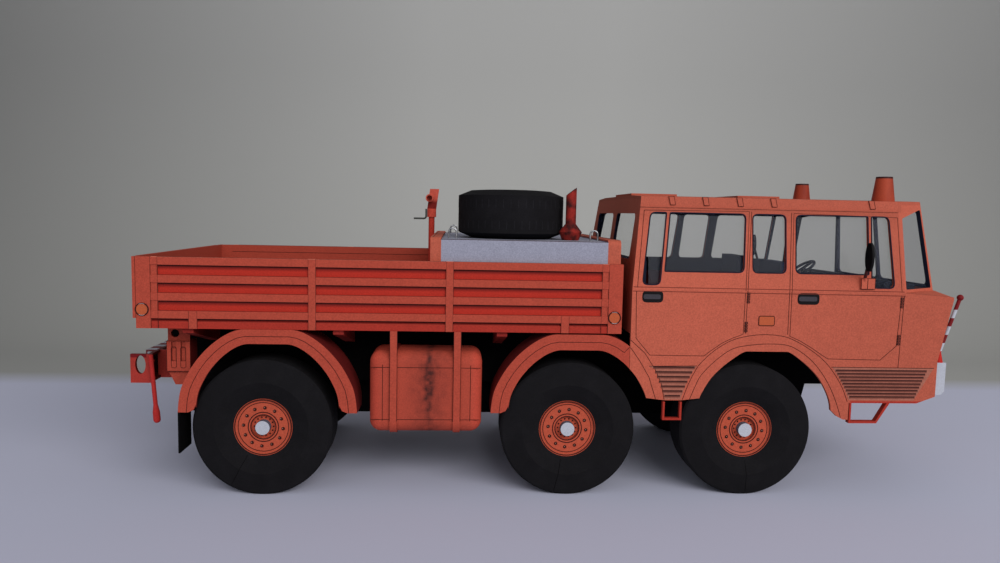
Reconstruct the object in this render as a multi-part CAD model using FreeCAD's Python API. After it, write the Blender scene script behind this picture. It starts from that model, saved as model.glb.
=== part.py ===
import FreeCAD, Part
import math
import os

# Card model of a six-wheeled crew-cab heavy haulage truck, in millimetres.
# X runs forward, Y to the truck's left, Z up. Every "x" below is measured from
# the rear axle and every "z" from the floor; save() then moves the whole model
# so that its origin is under the middle of its length.

os.makedirs("parts", exist_ok=True)
V = FreeCAD.Vector

# Card, sheet and general clearances
card = 1.0
sheet = 0.3
overrun = 3.0
slip = 0.05
air = 0.1

# Overall body
body_half_width = 39.0
frame_top_z = 49.1
rear_reach_x = -43.7

# Wheels and axles
rear_axle_x = 0.0
middle_axle_x = 89.2
front_axle_x = 143.1
tyre_radius = 20.0
tyre_width = 13.4
tyre_face_y = 38.6
tyre_shoulder = 0.6
tyre_shoulder_height = 0.5
tyre_edge_sink = 1.2
tyre_bead_sink = 2.0
tyre_bead_share = 0.2
tyre_crest_share = 0.46
rim_radius = 8.45
rim_disc_radius = 7.8
rim_face_sink = 1.9
rim_recess = 0.35
rim_depth = 9.0
hub_recess_radius = 3.45
hub_recess = 0.7
stick_radius = 2.05
stick_sink = 1.1

# Central tube, frame plates and axle housings
tube_half_width = 6.0
tube_bottom_z = 16.5
tube_top_z = 30.0
frame_outer_y = 14.0
frame_plate = 1.4
frame_bottom_z = 29.0
frame_rear_x = -34.0
frame_front_x = 198.0
frame_ties = 6
cross_tie = 2.0
gear_case_radius = 8.5
gear_case_half_width = 7.0
housing_root_radius = 5.6
housing_tip_radius = 3.4
hub_flange_radius = 6.0
hub_flange_width = 1.6
wheel_side_gap = 0.4

# Load bed
bed_rear_x = -34.4
bed_front_x = 104.0
bed_floor_z = 52.0
bed_top_z = 69.4
board_thickness = 1.4
board_relief = 0.5
rib_count = 4
rib_height = 2.2
sill_top_z = 51.1
post_width = 4.1
strip_width = 2.0
batten_width = 2.1
batten_rear_x = 13.5
batten_front_x = 52.6
strap_width = 2.3
strap_rear_x = -19.9
strap_front_x = 86.2
strap_top_z = 54.2
tail_board = 0.9
head_board = 0.6
bearer_width = 3.0
bearer_tip_depth = 1.4
bearer_root_depth = 7.5
bearer_x = (-20.6, 21.8, 69.1)

# Ballast block, spare wheel, lifting eyes and pipe on the bed
block_rear_x = 51.0
block_front_x = 99.6
block_top_z = 75.75
block_side_gap = 0.1
end_plate_rear = 3.1
end_plate_rise = 0.6
end_plate_corner = 1.5
plinth_length = 2.7
eye_span = 2.3
eye_height = 3.3
eye_wire = 0.55
eye_rear_x = 54.2
eye_front_x = 97.3
eye_y = 26.5
spare_x = 72.45
spare_y = -15.0
spare_radius = 16.6
spare_width = 15.0
spare_shoulder = 3.9
spare_shoulder_height = 1.6
spare_edge_sink = 0.2
spare_bead_sink = 0.4
spare_rim_radius = 7.2
spare_rim_disc_radius = 6.3
spare_rim_dish = 2.0
pipe_x = 90.2
pipe_y = -25.2
pipe_radius = 1.6
pipe_wall = 0.4
pipe_low_z = 89.3
pipe_high_z = 91.8
pipe_foot_radius = 3.5
pipe_foot_height = 5.0
pipe_foot_waist_radius = 2.6

# Spare wheel hoist
hoist_x = 46.85
hoist_radius = 1.0
hoist_post_top_z = 81.8
hoist_collar_radius = 1.5
hoist_collar_height = 2.7
hoist_head_thickness = 1.2
hoist_head_width = 3.0
hoist_head_height = 6.7
hoist_head_lean = 0.9
hoist_roller_x = 46.2
hoist_roller_z = 88.1
hoist_roller_radius = 1.3
hoist_roller_wall = 0.4
hoist_roller_length = 2.6
crank_wire = 0.6
crank_drop = 3.2
crank_bend = 0.8
crank_handle = 3.3

# Fuel tanks and hangers
tank_rear_x = 30.7
tank_front_x = 63.5
tank_bottom_z = 18.9
tank_top_z = 43.0
tank_depth = 15.0
tank_edge = 3.4
hanger_width = 2.1
hanger_sheet = 0.5
hanger_rear_x = 36.7
hanger_front_x = 55.1

# Wheel arches and mudguards
arch_half_share = (1.0, 0.985, 0.955, 0.905, 0.83, 0.74, 0.65, 0.56, 0.46, 0.365, 0.27)
front_half_share = (1.0, 0.99, 0.948, 0.892, 0.812, 0.71, 0.61, 0.515, 0.425, 0.356, 0.306)
arch_rise_share = (0.0, 0.16, 0.30, 0.42, 0.56, 0.685, 0.785, 0.865, 0.935, 0.98, 1.0)
rear_arch_x = 2.0
rear_arch_base_z = 24.9
rear_arch_half = 25.4
rear_arch_inner_half = 20.4
rear_arch_inner_top_z = 44.95
middle_arch_x = 92.0
middle_arch_base_z = 25.2
middle_arch_top_z = 48.7
middle_arch_half = 25.9
middle_arch_inner_half = 20.8
middle_arch_inner_top_z = 44.1
front_arch_x = 147.9
front_arch_base_z = 25.3
front_arch_inner_half = 20.5
front_arch_inner_top_z = 44.3
guard_depth = 12.2
guard_sheet = 0.9
guard_corner = 3.0
guard_toe = 2.2
guard_toe_bend_share = 0.3
arch_toe = 4.0
arch_toe_bend_share = 0.5
flap_bottom_z = 12.9
flap_sheet = 0.5

# Rear cross beam, lamp boxes and drop levers
beam_rear_x = -42.0
beam_front_x = -37.7
beam_web_half_length = 14.4
beam_half_length = 21.4
beam_bottom_z = 29.4
beam_top_z = 38.3
beam_sheet = 0.8
lug_length = 6.4
lug_hole_half_width = 1.55
lug_hole_half_height = 2.85
lug_hole_inset = 3.0
lug_hole_z = 35.05
lever_top_x = -37.1
lever_bottom_x = -35.6
lever_radius = 0.65
lever_pin_radius = 0.5
lever_pin_drop = 2.0
lever_bottom_z = 17.2
lever_paddle_radius = 1.05
lever_paddle_height = 4.6
lamp_box_x = -26.2
lamp_box_y = 30.0
lamp_box_length = 6.8
lamp_box_depth = 6.0
lamp_box_bottom_z = 34.9
lamp_box_top_z = 43.9
lamp_slot_share = (0.3, 0.7)
lamp_slot_width = 1.3
lamp_slot_height = 5.8
lamp_slot_sink = 0.6
lamp_hanger_length = 6.4
lamp_hole_radius = 1.2
lamp_hole_share = -0.17
lamp_hole_z = 46.2
lamp_tab_share = (0.3, 0.8)
lamp_tab_height = 4.2
lamp_tab_sheet = 0.8

# Cab
cab_rear_x = 106.8
cab_rear_roof_x = 109.9
cab_shoulder_z = 62.4
cab_roof_z = 89.6
cab_roof_half_width = 32.9
cab_floor_z = 49.1
cab_corner_x = 188.9
cab_corner_roof_x = 188.4
cab_face_x = 204.1
cab_face_half_width = 29.1
cab_face_roof_share = 0.8
roof_edge_drop = 3.3
roof_band_drop = 0.1
roof_crown_y = 21.0
roof_crown_rise = 0.4
ledge_drop = 1.1
nose_tip_x = 204.3
nose_waist_x = 200.6
nose_waist_z = 41.7
nose_bottom_z = 31.0
skirt_z = 28.9
skirt_front_x = 194.9
skirt_rear_x = (112.5, 117.5, 122.6, 127.6)
skirt_rear_z = (30.0, 29.4, 29.4, 30.0)
arch_foot_front_x = 173.9
arch_foot_z = 23.8
gutter_proud = 0.3
window_corner = 1.6
window_round_share = ((1, 0.25, 1, 1), (0.25, 1, 1, 0.25), (1, 1, 1, 1),
                      (1, 0.25, 0.25, 1), (0.25, 1, 1, 1))
window_head = 1.5
window_low_z = 63.7
window_mid_z = 67.6
window_top_x = (112.6, 117.4, 118.5, 141.4, 143.5, 153.6, 156.8, 178.9, 180.0, 185.4)
window_sill_x = (109.8, 115.0, 116.5, 140.2, 142.9, 152.9, 155.9, 178.2, 178.9, 185.9)
rear_window_inner_y = 2.7
rear_window_outer_y = 29.0
rear_window_low_z = 70.5
rear_window_head = 1.9
screen_edge_share = 0.05
screen_pillar_share = 0.02
screen_low_share = 0.06
screen_top_share = 0.91
pane_near_share = (0.065, 0.14)
pane_far_share = (0.935, 0.945)
pane_low_z = 63.3
pane_near_head = 5.1
pane_far_head = 2.2
pane_corner = 0.5
glass_gap = 0.05
glass_lap = 0.3

# Roof fittings
hatch_height = 0.9
hatch_half_width = 12.0
hatch_rear_x = 111.8
hatch_rear_length = 15.0
hatch_front_x = 147.0
hatch_front_length = 14.0
beacon_x = 187.0
beacon_y = 27.5
beacon_base_radius = 3.6
beacon_top_radius = 2.35
beacon_height = 7.6
beacon_sink = 2.2

# Cab inside
seat_width = 16.0
seat_front_x = 160.0
seat_front_y = 18.0
seat_cushion_length = 14.0
seat_cushion_height = 7.0
seat_back_thickness = 3.5
seat_back_height = 20.0
bench_x = 113.0
bench_half_width = 30.0
dash_rear_x = 189.5
dash_front_x = 199.5
dash_top_z = 65.0
dash_half_width = 27.0
wheel_ring_radius = 4.6
wheel_tilt = 35
wheel_rod_radius = 0.5
wheel_hub_x = 184.5
wheel_hub_z = 65.5

# Front bumper, lamps, marker rods, mirrors and steps
bumper_half_width = 37.8
bumper_front_x = 204.2
bumper_top_z = 41.2
bumper_bottom_z = 31.3
lamp_radius = 3.1
lamp_proud = 0.5
lamp_inner_y = 23.0
lamp_outer_y = 31.5
rod_base_x = 202.5
rod_lean = 5.35
rod_y = 36.6
rod_radius = 0.55
rod_cone_radius = 1.2
rod_cone_height = 3.0
rod_top_z = 61.0
rod_ball_radius = 0.95
mirror_x = 175.4
mirror_reach = 3.6
mirror_z = 73.0
mirror_half_width = 1.95
mirror_half_height = 4.2
mirror_thickness = 0.7
mirror_mount_x = 177.4
mirror_mount_length = 4.2
mirror_mount_height = 3.2
mirror_mount_proud = 1.2
mirror_arm_radius = 0.45
step_strip = 0.6
step_brace = 0.9
step_rear_x = 117.2
step_rear_length = 5.7
step_rear_bottom_z = 23.4
step_rear_depth = 1.4
step_front_x = 174.2
step_front_length = 12.4
step_front_floor_length = 8.6
step_front_bottom_z = 22.7
step_front_depth = 1.8

# Sizes worked out from the ones above
front_reach_x = rod_base_x + rod_lean + rod_ball_radius
centre_x = (rear_reach_x + front_reach_x) / 2
rim_face_y = tyre_face_y - rim_face_sink
roof_edge_z = cab_roof_z - roof_edge_drop
roof_band_z = cab_roof_z - roof_band_drop
roof_crown_z = cab_roof_z + roof_crown_rise
window_top_z = roof_edge_z - window_head
rear_window_top_z = roof_edge_z - rear_window_head
pane_near_top_z = cab_roof_z - pane_near_head
pane_far_top_z = cab_roof_z - pane_far_head
ledge_edge_z = cab_shoulder_z - ledge_drop
ledge_low_z = ledge_edge_z - card

sides = (("right", -1), ("left", 1))
upright = V(0, 0, 1)
across = V(0, 1, 0)
along = V(1, 0, 0)


def save(name, shape):
    """Move a finished piece to the model's origin and write it."""
    placed = shape.copy()
    placed.translate(V(-centre_x, 0, 0))
    placed.exportStep("parts/" + name + ".step")


def box(x0, x1, y0, y1, z0, z1):
    """Upright box between two corners, in any order of y."""
    low_y, high_y = min(y0, y1), max(y0, y1)
    return Part.makeBox(x1 - x0, high_y - low_y, z1 - z0, V(x0, low_y, z0))


def face_of(points):
    """Flat face through a closed list of points."""
    return Part.Face(Part.makePolygon(points + [points[0]]))


def side_prism(outline, y0, y1):
    """Solid of an (x, z) outline between two y planes."""
    low_y, high_y = min(y0, y1), max(y0, y1)
    return face_of([V(x, low_y, z) for x, z in outline]).extrude(V(0, high_y - low_y, 0))


def end_prism(outline, x0, x1):
    """Solid of a (y, z) outline between two x planes."""
    return face_of([V(x0, y, z) for y, z in outline]).extrude(V(x1 - x0, 0, 0))


def plan_prism(outline, z0, z1):
    """Solid of an (x, y) outline between two heights."""
    return face_of([V(x, y, z0) for x, y in outline]).extrude(V(0, 0, z1 - z0))


def joined(shapes):
    """One solid from pieces that touch or overlap."""
    first = shapes[0]
    return first.fuse(shapes[1:]).removeSplitter() if len(shapes) > 1 else first


def apart(shapes):
    """Several solids that do not touch, kept in one piece of the list."""
    return Part.makeCompound(shapes)


def mirrored(shape):
    """The same shape on the other side of the truck."""
    return shape.mirror(V(0, 0, 0), across)


def both_sides(shape):
    return apart([shape, mirrored(shape)])


def rounded(points, radius, round_share=None):
    """Wire through corner points, each rounded by the radius or by its own share of it."""
    edges = []
    count = len(points)
    shares = round_share or [1] * count
    starts = []
    for i in range(count):
        before, corner, after = points[i - 1], points[i], points[(i + 1) % count]
        bend = radius * shares[i]
        to_before = (before - corner).normalize()
        to_after = (after - corner).normalize()
        half = to_before.getAngle(to_after) / 2
        reach = bend / math.tan(half)
        middle_way = (to_before + to_after).normalize()
        centre = corner + middle_way * (bend / math.sin(half))
        inside = centre - middle_way * bend
        starts.append((corner + to_before * reach, inside, corner + to_after * reach))
    for i in range(count):
        begin, inside, end = starts[i]
        edges.append(Part.Arc(begin, inside, end).toShape())
        edges.append(Part.LineSegment(end, starts[(i + 1) % count][0]).toShape())
    return Part.Wire(edges)


def flank(centre, half_length, base_z, top_z, way, half_share):
    """Smooth curve of one side of a wheel arch, from its foot to the flat top."""
    height = top_z - base_z
    points = [V(centre + way * half_length * a, 0, base_z + height * b)
              for a, b in zip(half_share, arch_rise_share)]
    curve = Part.BSplineCurve()
    curve.interpolate(points)
    return points, curve.toShape()


def under_arch(centre, half_length, base_z, top_z, floor_z, y0, y1, half_share=arch_half_share):
    """Everything under a wheel arch between two y planes, down to floor_z."""
    rear, rear_curve = flank(centre, half_length, base_z, top_z, -1, half_share)
    front, front_curve = flank(centre, half_length, base_z, top_z, 1, half_share)
    feet = [rear[0]]
    if floor_z < base_z:
        feet += [V(rear[0].x, 0, floor_z), V(front[0].x, 0, floor_z)]
    feet.append(front[0])
    edges = [rear_curve, Part.LineSegment(rear[-1], front[-1]).toShape(), front_curve]
    for a, b in zip(feet, feet[1:]):
        edges.append(Part.LineSegment(a, b).toShape())
    face = Part.Face(Part.Wire(Part.__sortEdges__(edges)))
    face.translate(V(0, min(y0, y1), 0))
    return face.extrude(V(0, abs(y1 - y0), 0))


# Wheels

def turned_tyre(radius, width, bore, shoulder, shoulder_height, edge_sink, bead_sink):
    """Tyre turned about the local Z axis: each side bulges to a crest, the outer one at z = 0."""
    wall = radius - shoulder - bore
    bead = bore + wall * tyre_bead_share
    crest = bore + wall * tyre_crest_share
    outer = [V(bore, 0, -bead_sink), V(bead, 0, -bead_sink / 2), V(crest, 0, 0),
             V(radius - shoulder, 0, -edge_sink), V(radius, 0, -edge_sink - shoulder_height)]
    inner = [V(p.x, 0, -width - p.z) for p in reversed(outer)]
    return face_of(outer + inner).revolve(V(0, 0, 0), upright, 360)


def turned_rim(radius, disc_radius, bore, recess, depth):
    """Rim turned about the local Z axis: a sloping lip round a disc with a sunk hub."""
    profile = [V(bore, 0, -recess - hub_recess), V(hub_recess_radius, 0, -recess - hub_recess),
               V(hub_recess_radius, 0, -recess), V(disc_radius, 0, -recess), V(radius, 0, 0),
               V(radius, 0, -depth), V(bore, 0, -depth)]
    return face_of(profile).revolve(V(0, 0, 0), upright, 360)


def on_axle(shape, axle_x, side, face_y):
    """Turn a wheel piece from local Z to the outward side of an axle, its face at face_y."""
    placed = shape.copy()
    placed.rotate(V(0, 0, 0), along, -90 if side > 0 else 90)
    placed.translate(V(axle_x, side * face_y, tyre_radius))
    return placed


def make_wheels():
    tyre = turned_tyre(tyre_radius, tyre_width, rim_radius + slip, tyre_shoulder,
                       tyre_shoulder_height, tyre_edge_sink, tyre_bead_sink)
    rim = turned_rim(rim_radius, rim_disc_radius, stick_radius + slip, rim_recess, rim_depth)
    for place, axle_x in (("rear", rear_axle_x), ("middle", middle_axle_x), ("front", front_axle_x)):
        for hand, side in sides:
            save("tyre_" + place + "_" + hand, on_axle(tyre, axle_x, side, tyre_face_y))
            save("rim_" + place + "_" + hand, on_axle(rim, axle_x, side, rim_face_y))


# Chassis

def stick_hole(axle_x):
    reach = body_half_width
    return Part.makeCylinder(stick_radius + slip, 2 * reach, V(axle_x, -reach, tyre_radius), across)


def make_sticks():
    half = tyre_face_y - stick_sink
    sticks = [Part.makeCylinder(stick_radius, 2 * half, V(x, -half, tyre_radius), across)
              for x in (rear_axle_x, middle_axle_x, front_axle_x)]
    save("axle_sticks", apart(sticks))


def make_axle_housings():
    tip_y = tyre_face_y - tyre_width - wheel_side_gap
    halves = []
    for axle_x in (rear_axle_x, middle_axle_x, front_axle_x):
        for hand, side in sides:
            root = V(axle_x, side * gear_case_half_width, tyre_radius)
            cone = Part.makeCone(housing_root_radius, housing_tip_radius,
                                 tip_y - gear_case_half_width, root, across * side)
            flange_at = V(axle_x, side * (tip_y - hub_flange_width), tyre_radius)
            flange = Part.makeCylinder(hub_flange_radius, hub_flange_width, flange_at, across * side)
            halves.append(joined([cone, flange]).cut(stick_hole(axle_x)))
    save("half_axles", apart(halves))


def make_backbone():
    pieces = [box(frame_rear_x, front_axle_x + gear_case_radius, -tube_half_width, tube_half_width,
                  tube_bottom_z, tube_top_z)]
    for axle_x in (rear_axle_x, middle_axle_x, front_axle_x):
        pieces.append(Part.makeCylinder(gear_case_radius, 2 * gear_case_half_width,
                                        V(axle_x, -gear_case_half_width, tyre_radius), across))
    for hand, side in sides:
        pieces.append(box(frame_rear_x, frame_front_x, side * (frame_outer_y - frame_plate),
                          side * frame_outer_y, frame_bottom_z, frame_top_z))
    for i in range(frame_ties):
        tie_x = frame_rear_x + (frame_front_x - frame_rear_x - cross_tie) * i / (frame_ties - 1)
        pieces.append(box(tie_x, tie_x + cross_tie, -frame_outer_y, frame_outer_y,
                          frame_bottom_z, frame_top_z))
    shape = joined(pieces)
    for axle_x in (rear_axle_x, middle_axle_x, front_axle_x):
        shape = shape.cut(stick_hole(axle_x))
    save("backbone", shape)


# Load bed

inner_bed_y = body_half_width - board_thickness
floor_front_x = block_rear_x - end_plate_rear - plinth_length
rib_pitch = (bed_top_z - bed_floor_z - rib_height) / (rib_count - 1)


def make_bed_floor():
    save("bed_floor", box(bed_rear_x, floor_front_x, -inner_bed_y, inner_bed_y, frame_top_z,
                          bed_floor_z))
    bearers = []
    for hand, side in sides:
        outline = [(side * frame_outer_y, frame_top_z), (side * inner_bed_y, frame_top_z),
                   (side * inner_bed_y, frame_top_z - bearer_tip_depth),
                   (side * frame_outer_y, frame_top_z - bearer_root_depth)]
        for x in bearer_x:
            bearers.append(end_prism(outline, x - bearer_width / 2, x + bearer_width / 2))
    save("cross_bearers", apart(bearers))


def side_board(side):
    outer = side * body_half_width
    back = side * (body_half_width - board_relief)
    inner = side * inner_bed_y
    pieces = [box(bed_rear_x, bed_front_x, back, inner, frame_top_z, bed_top_z)]
    pieces[0] = pieces[0].cut(box(bed_rear_x - overrun, bed_front_x + overrun,
                                  side * (body_half_width - board_relief - sheet), outer,
                                  sill_top_z, bed_floor_z))
    for i in range(rib_count):
        low = bed_floor_z + rib_pitch * i
        pieces.append(box(bed_rear_x, bed_front_x, outer, back, low, low + rib_height))
    sill_y = side * (body_half_width - board_relief / 2)
    pieces.append(box(bed_rear_x, bed_front_x, sill_y, inner, frame_top_z, sill_top_z))
    pieces.append(box(bed_rear_x, bed_rear_x + post_width, outer, inner, frame_top_z, bed_top_z))
    pieces.append(box(bed_front_x - post_width, bed_front_x, outer, inner, frame_top_z, bed_top_z))
    for x in (bed_rear_x + post_width, bed_front_x - post_width - strip_width):
        pieces.append(box(x, x + strip_width, side * (body_half_width - board_relief / 2), back,
                          bed_floor_z, bed_top_z))
    for x in (batten_rear_x, batten_front_x):
        pieces.append(box(x, x + batten_width, outer, back, frame_top_z, bed_top_z))
    for x in (strap_rear_x, strap_front_x):
        pieces.append(box(x, x + strap_width, outer, back, frame_top_z, strap_top_z))
    return joined(pieces)


def make_bed_boards():
    for hand, side in sides:
        save("side_board_" + hand, side_board(side))
    back_x = bed_rear_x - tail_board
    pieces = [box(back_x, bed_rear_x, -body_half_width, body_half_width, bed_floor_z, bed_top_z)]
    rib_end_y = body_half_width - post_width
    for i in range(rib_count):
        low = bed_floor_z + rib_pitch * i
        pieces.append(box(back_x - board_relief, back_x, -rib_end_y, rib_end_y, low, low + rib_height))
    save("tailboard", joined(pieces))
    save("headboard", box(bed_front_x - head_board, bed_front_x, -inner_bed_y, inner_bed_y,
                          frame_top_z, bed_top_z))


# What stands on the bed

block_half_width = inner_bed_y - block_side_gap


def make_block():
    save("ballast_block", box(block_rear_x, block_front_x, -block_half_width, block_half_width,
                              frame_top_z, block_top_z))
    top = block_top_z + end_plate_rise
    plates = []
    for x0, x1 in ((block_rear_x - end_plate_rear, block_rear_x),
                   (block_front_x, bed_front_x - head_board)):
        corners = [V(x0, -block_half_width, frame_top_z), V(x0, block_half_width, frame_top_z),
                   V(x0, block_half_width, top), V(x0, -block_half_width, top)]
        plate = Part.Face(rounded(corners, end_plate_corner)).extrude(V(x1 - x0, 0, 0))
        square_foot = box(x0, x1, -block_half_width, block_half_width, frame_top_z,
                          frame_top_z + 2 * end_plate_corner)
        plates.append(joined([plate, square_foot]))
    plinth = box(floor_front_x, block_rear_x - end_plate_rear, -block_half_width, block_half_width,
                 frame_top_z, bed_floor_z)
    plates[0] = joined([plates[0], plinth])
    save("block_end_plates", apart(plates))


def lifting_eye(x, y):
    """Wire loop: two legs and a half circle over them."""
    bend = eye_span / 2
    spring_z = block_top_z + eye_height - bend - eye_wire / 2
    low_a = V(x - bend, y, block_top_z)
    high_a = V(x - bend, y, spring_z)
    crown = V(x, y, spring_z + bend)
    high_b = V(x + bend, y, spring_z)
    low_b = V(x + bend, y, block_top_z)
    path = Part.Wire([Part.LineSegment(low_a, high_a).toShape(),
                      Part.Arc(high_a, crown, high_b).toShape(),
                      Part.LineSegment(high_b, low_b).toShape()])
    section = Part.Wire(Part.makeCircle(eye_wire / 2, low_a, upright))
    return path.makePipeShell([section], True, False)


def make_eyes():
    eyes = [lifting_eye(x, y) for x in (eye_rear_x, eye_front_x) for y in (-eye_y, eye_y)]
    save("lifting_eyes", apart(eyes))


def make_spare():
    tyre = turned_tyre(spare_radius, spare_width, spare_rim_radius + slip, spare_shoulder,
                       spare_shoulder_height, spare_edge_sink, spare_bead_sink)
    top = V(spare_x, spare_y, block_top_z + spare_width)
    tyre.translate(top)
    save("spare_tyre", tyre)
    disc = turned_rim(spare_rim_radius, spare_rim_disc_radius, stick_radius, spare_rim_dish,
                      spare_width - card)
    disc.translate(top)
    save("spare_rim", disc)


def make_pipe():
    foot = V(pipe_x, pipe_y, block_top_z)
    half_height = pipe_foot_height / 2
    tube = Part.makeCylinder(pipe_radius, pipe_high_z - block_top_z, foot, upright)
    low = Part.makeCone(pipe_foot_waist_radius, pipe_foot_radius, half_height, foot, upright)
    high = Part.makeCone(pipe_foot_radius, pipe_radius, half_height,
                         foot + V(0, 0, half_height), upright)
    bore = Part.makeCylinder(pipe_radius - pipe_wall, pipe_high_z - block_top_z,
                             foot + V(0, 0, pipe_foot_height), upright)
    slash = side_prism([(pipe_x - pipe_radius, pipe_low_z),
                        (pipe_x + pipe_radius, pipe_high_z),
                        (pipe_x + pipe_radius, pipe_high_z + overrun),
                        (pipe_x - pipe_radius - overrun, pipe_high_z + overrun),
                        (pipe_x - pipe_radius - overrun, pipe_low_z)],
                       pipe_y - overrun, pipe_y + overrun)
    save("slant_cut_pipe", joined([tube, low, high]).cut(bore).cut(slash))


def make_hoist():
    collar_top = hoist_post_top_z + hoist_collar_height
    post = Part.makeCylinder(hoist_radius, hoist_post_top_z - bed_floor_z,
                             V(hoist_x, 0, bed_floor_z), upright)
    collar = Part.makeCylinder(hoist_collar_radius, hoist_collar_height,
                               V(hoist_x, 0, hoist_post_top_z), upright)
    save("hoist_post", joined([post, collar]))

    rear_x = hoist_x - hoist_head_width / 2
    outline = [(rear_x, collar_top), (rear_x + hoist_head_width, collar_top),
               (rear_x + hoist_head_width + hoist_head_lean, collar_top + hoist_head_height),
               (rear_x + hoist_head_lean, collar_top + hoist_head_height)]
    half = hoist_head_thickness / 2
    plate = side_prism(outline, -half, half)
    roller_end = V(hoist_roller_x, -half - hoist_roller_length, hoist_roller_z)
    roller = Part.makeCylinder(hoist_roller_radius, hoist_roller_length + half, roller_end, across)
    hollow = Part.makeCylinder(hoist_roller_radius - hoist_roller_wall, hoist_roller_length,
                               roller_end, across)
    save("hoist_head", joined([plate, roller]).cut(hollow))

    wire = crank_wire / 2
    shaft_x = hoist_x - hoist_collar_radius - wire - slip
    low_z = collar_top - crank_drop
    top = V(shaft_x, 0, collar_top)
    low = V(shaft_x, 0, low_z + crank_bend)
    elbow = V(shaft_x - crank_bend * (1 - math.cos(math.pi / 4)), 0,
              low_z + crank_bend * (1 - math.sin(math.pi / 4)))
    turn = V(shaft_x - crank_bend, 0, low_z)
    tip = V(shaft_x - crank_bend - crank_handle, 0, low_z)
    path = Part.Wire([Part.LineSegment(top, low).toShape(), Part.Arc(low, elbow, turn).toShape(),
                      Part.LineSegment(turn, tip).toShape()])
    section = Part.Wire(Part.makeCircle(wire, top, upright))
    save("hoist_crank", path.makePipeShell([section], True, False))


# Tanks, mudguards and flaps

def make_tanks():
    outer = body_half_width - hanger_sheet
    inner = outer - tank_depth
    tank = box(tank_rear_x, tank_front_x, -outer, -inner, tank_bottom_z, tank_top_z)
    tank = tank.makeFillet(tank_edge, tank.Edges)
    save("fuel_tanks", both_sides(tank))
    hangers = []
    for x in (hanger_rear_x, hanger_front_x):
        loop = box(x, x + hanger_width, -outer - hanger_sheet, -inner + hanger_sheet,
                   tank_bottom_z - hanger_sheet, tank_top_z + hanger_sheet)
        long_edges = [e for e in loop.Edges if e.BoundBox.XLength > hanger_width / 2]
        loop = loop.makeFillet(tank_edge + hanger_sheet, long_edges)
        core = box(x - overrun, x + hanger_width + overrun, -outer, -inner, tank_bottom_z, tank_top_z)
        long_edges = [e for e in core.Edges if e.BoundBox.XLength > hanger_width]
        loop = loop.cut(core.makeFillet(tank_edge, long_edges))
        riser = box(x, x + hanger_width, -outer - hanger_sheet, -outer + hanger_sheet,
                    tank_top_z - tank_edge, frame_top_z)
        riser = riser.cut(core.makeFillet(tank_edge, long_edges))
        strap = joined([loop, riser])
        hangers += [strap, mirrored(strap)]
    save("tank_hangers", apart(hangers))


def rounding(y, z, toward_y, radius, x0, x1):
    """Cutter that rounds a lower edge running along X."""
    corner = box(x0, x1, y - toward_y * radius, y + toward_y * radius, z - radius, z + radius)
    keep = Part.makeCylinder(radius, x1 - x0, V(x0, y + toward_y * radius, z + radius), along)
    above = box(x0, x1, y - toward_y * overrun, y + 2 * toward_y * radius, z + radius, z + 2 * radius)
    return corner.cut(keep).cut(above)


def mudguard(centre, half, top_z, inner_half, inner_top_z, base_z, side, front_limit):
    """Half-drum mudguard: a curved sheet with a flat band on its outer side."""
    outer_y = side * body_half_width
    root_y = side * (body_half_width - guard_depth)
    face_y = side * (body_half_width - guard_sheet)
    shape = under_arch(centre, half, base_z, top_z, base_z, outer_y, root_y)
    low = base_z - overrun
    shape = shape.cut(under_arch(centre, half - guard_sheet, base_z, top_z - guard_sheet, low,
                                 face_y, root_y - side * overrun))
    shape = shape.cut(under_arch(centre, inner_half, base_z, inner_top_z, low,
                                 outer_y + side * overrun, face_y - side * air))
    for way in (-1, 1):
        foot = centre + way * inner_half
        bend = (foot + way * guard_toe * guard_toe_bend_share, base_z + guard_toe * guard_toe_bend_share)
        toe = [(foot - way * air, base_z + guard_toe), bend,
               (foot + way * guard_toe, base_z), (foot + way * guard_toe, base_z - air),
               (foot - way * air, base_z - air)]
        shape = shape.cut(side_prism(toe, outer_y + side * overrun, face_y - side * air))
    reach = half + overrun
    shape = shape.cut(rounding(root_y, base_z, side, guard_corner, centre - reach, centre + reach))
    if front_limit is not None:
        ahead = box(front_limit, front_limit + 2 * half, outer_y + side * overrun,
                    root_y - side * overrun, 0, top_z + overrun)
        shape = shape.cut(ahead)
    return shape


def make_mudguards():
    for hand, side in sides:
        save("mudguard_rear_" + hand,
             mudguard(rear_arch_x, rear_arch_half, frame_top_z, rear_arch_inner_half,
                      rear_arch_inner_top_z, rear_arch_base_z, side, None))
        save("mudguard_middle_" + hand,
             mudguard(middle_arch_x, middle_arch_half, middle_arch_top_z, middle_arch_inner_half,
                      middle_arch_inner_top_z, middle_arch_base_z, side, cab_rear_x - air))
    flap_x = rear_arch_x - rear_arch_half
    flap = box(flap_x, flap_x + flap_sheet, -body_half_width,
               -body_half_width + guard_depth - guard_corner, flap_bottom_z, rear_arch_base_z)
    save("mudflaps", both_sides(flap))


# Rear end

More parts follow.
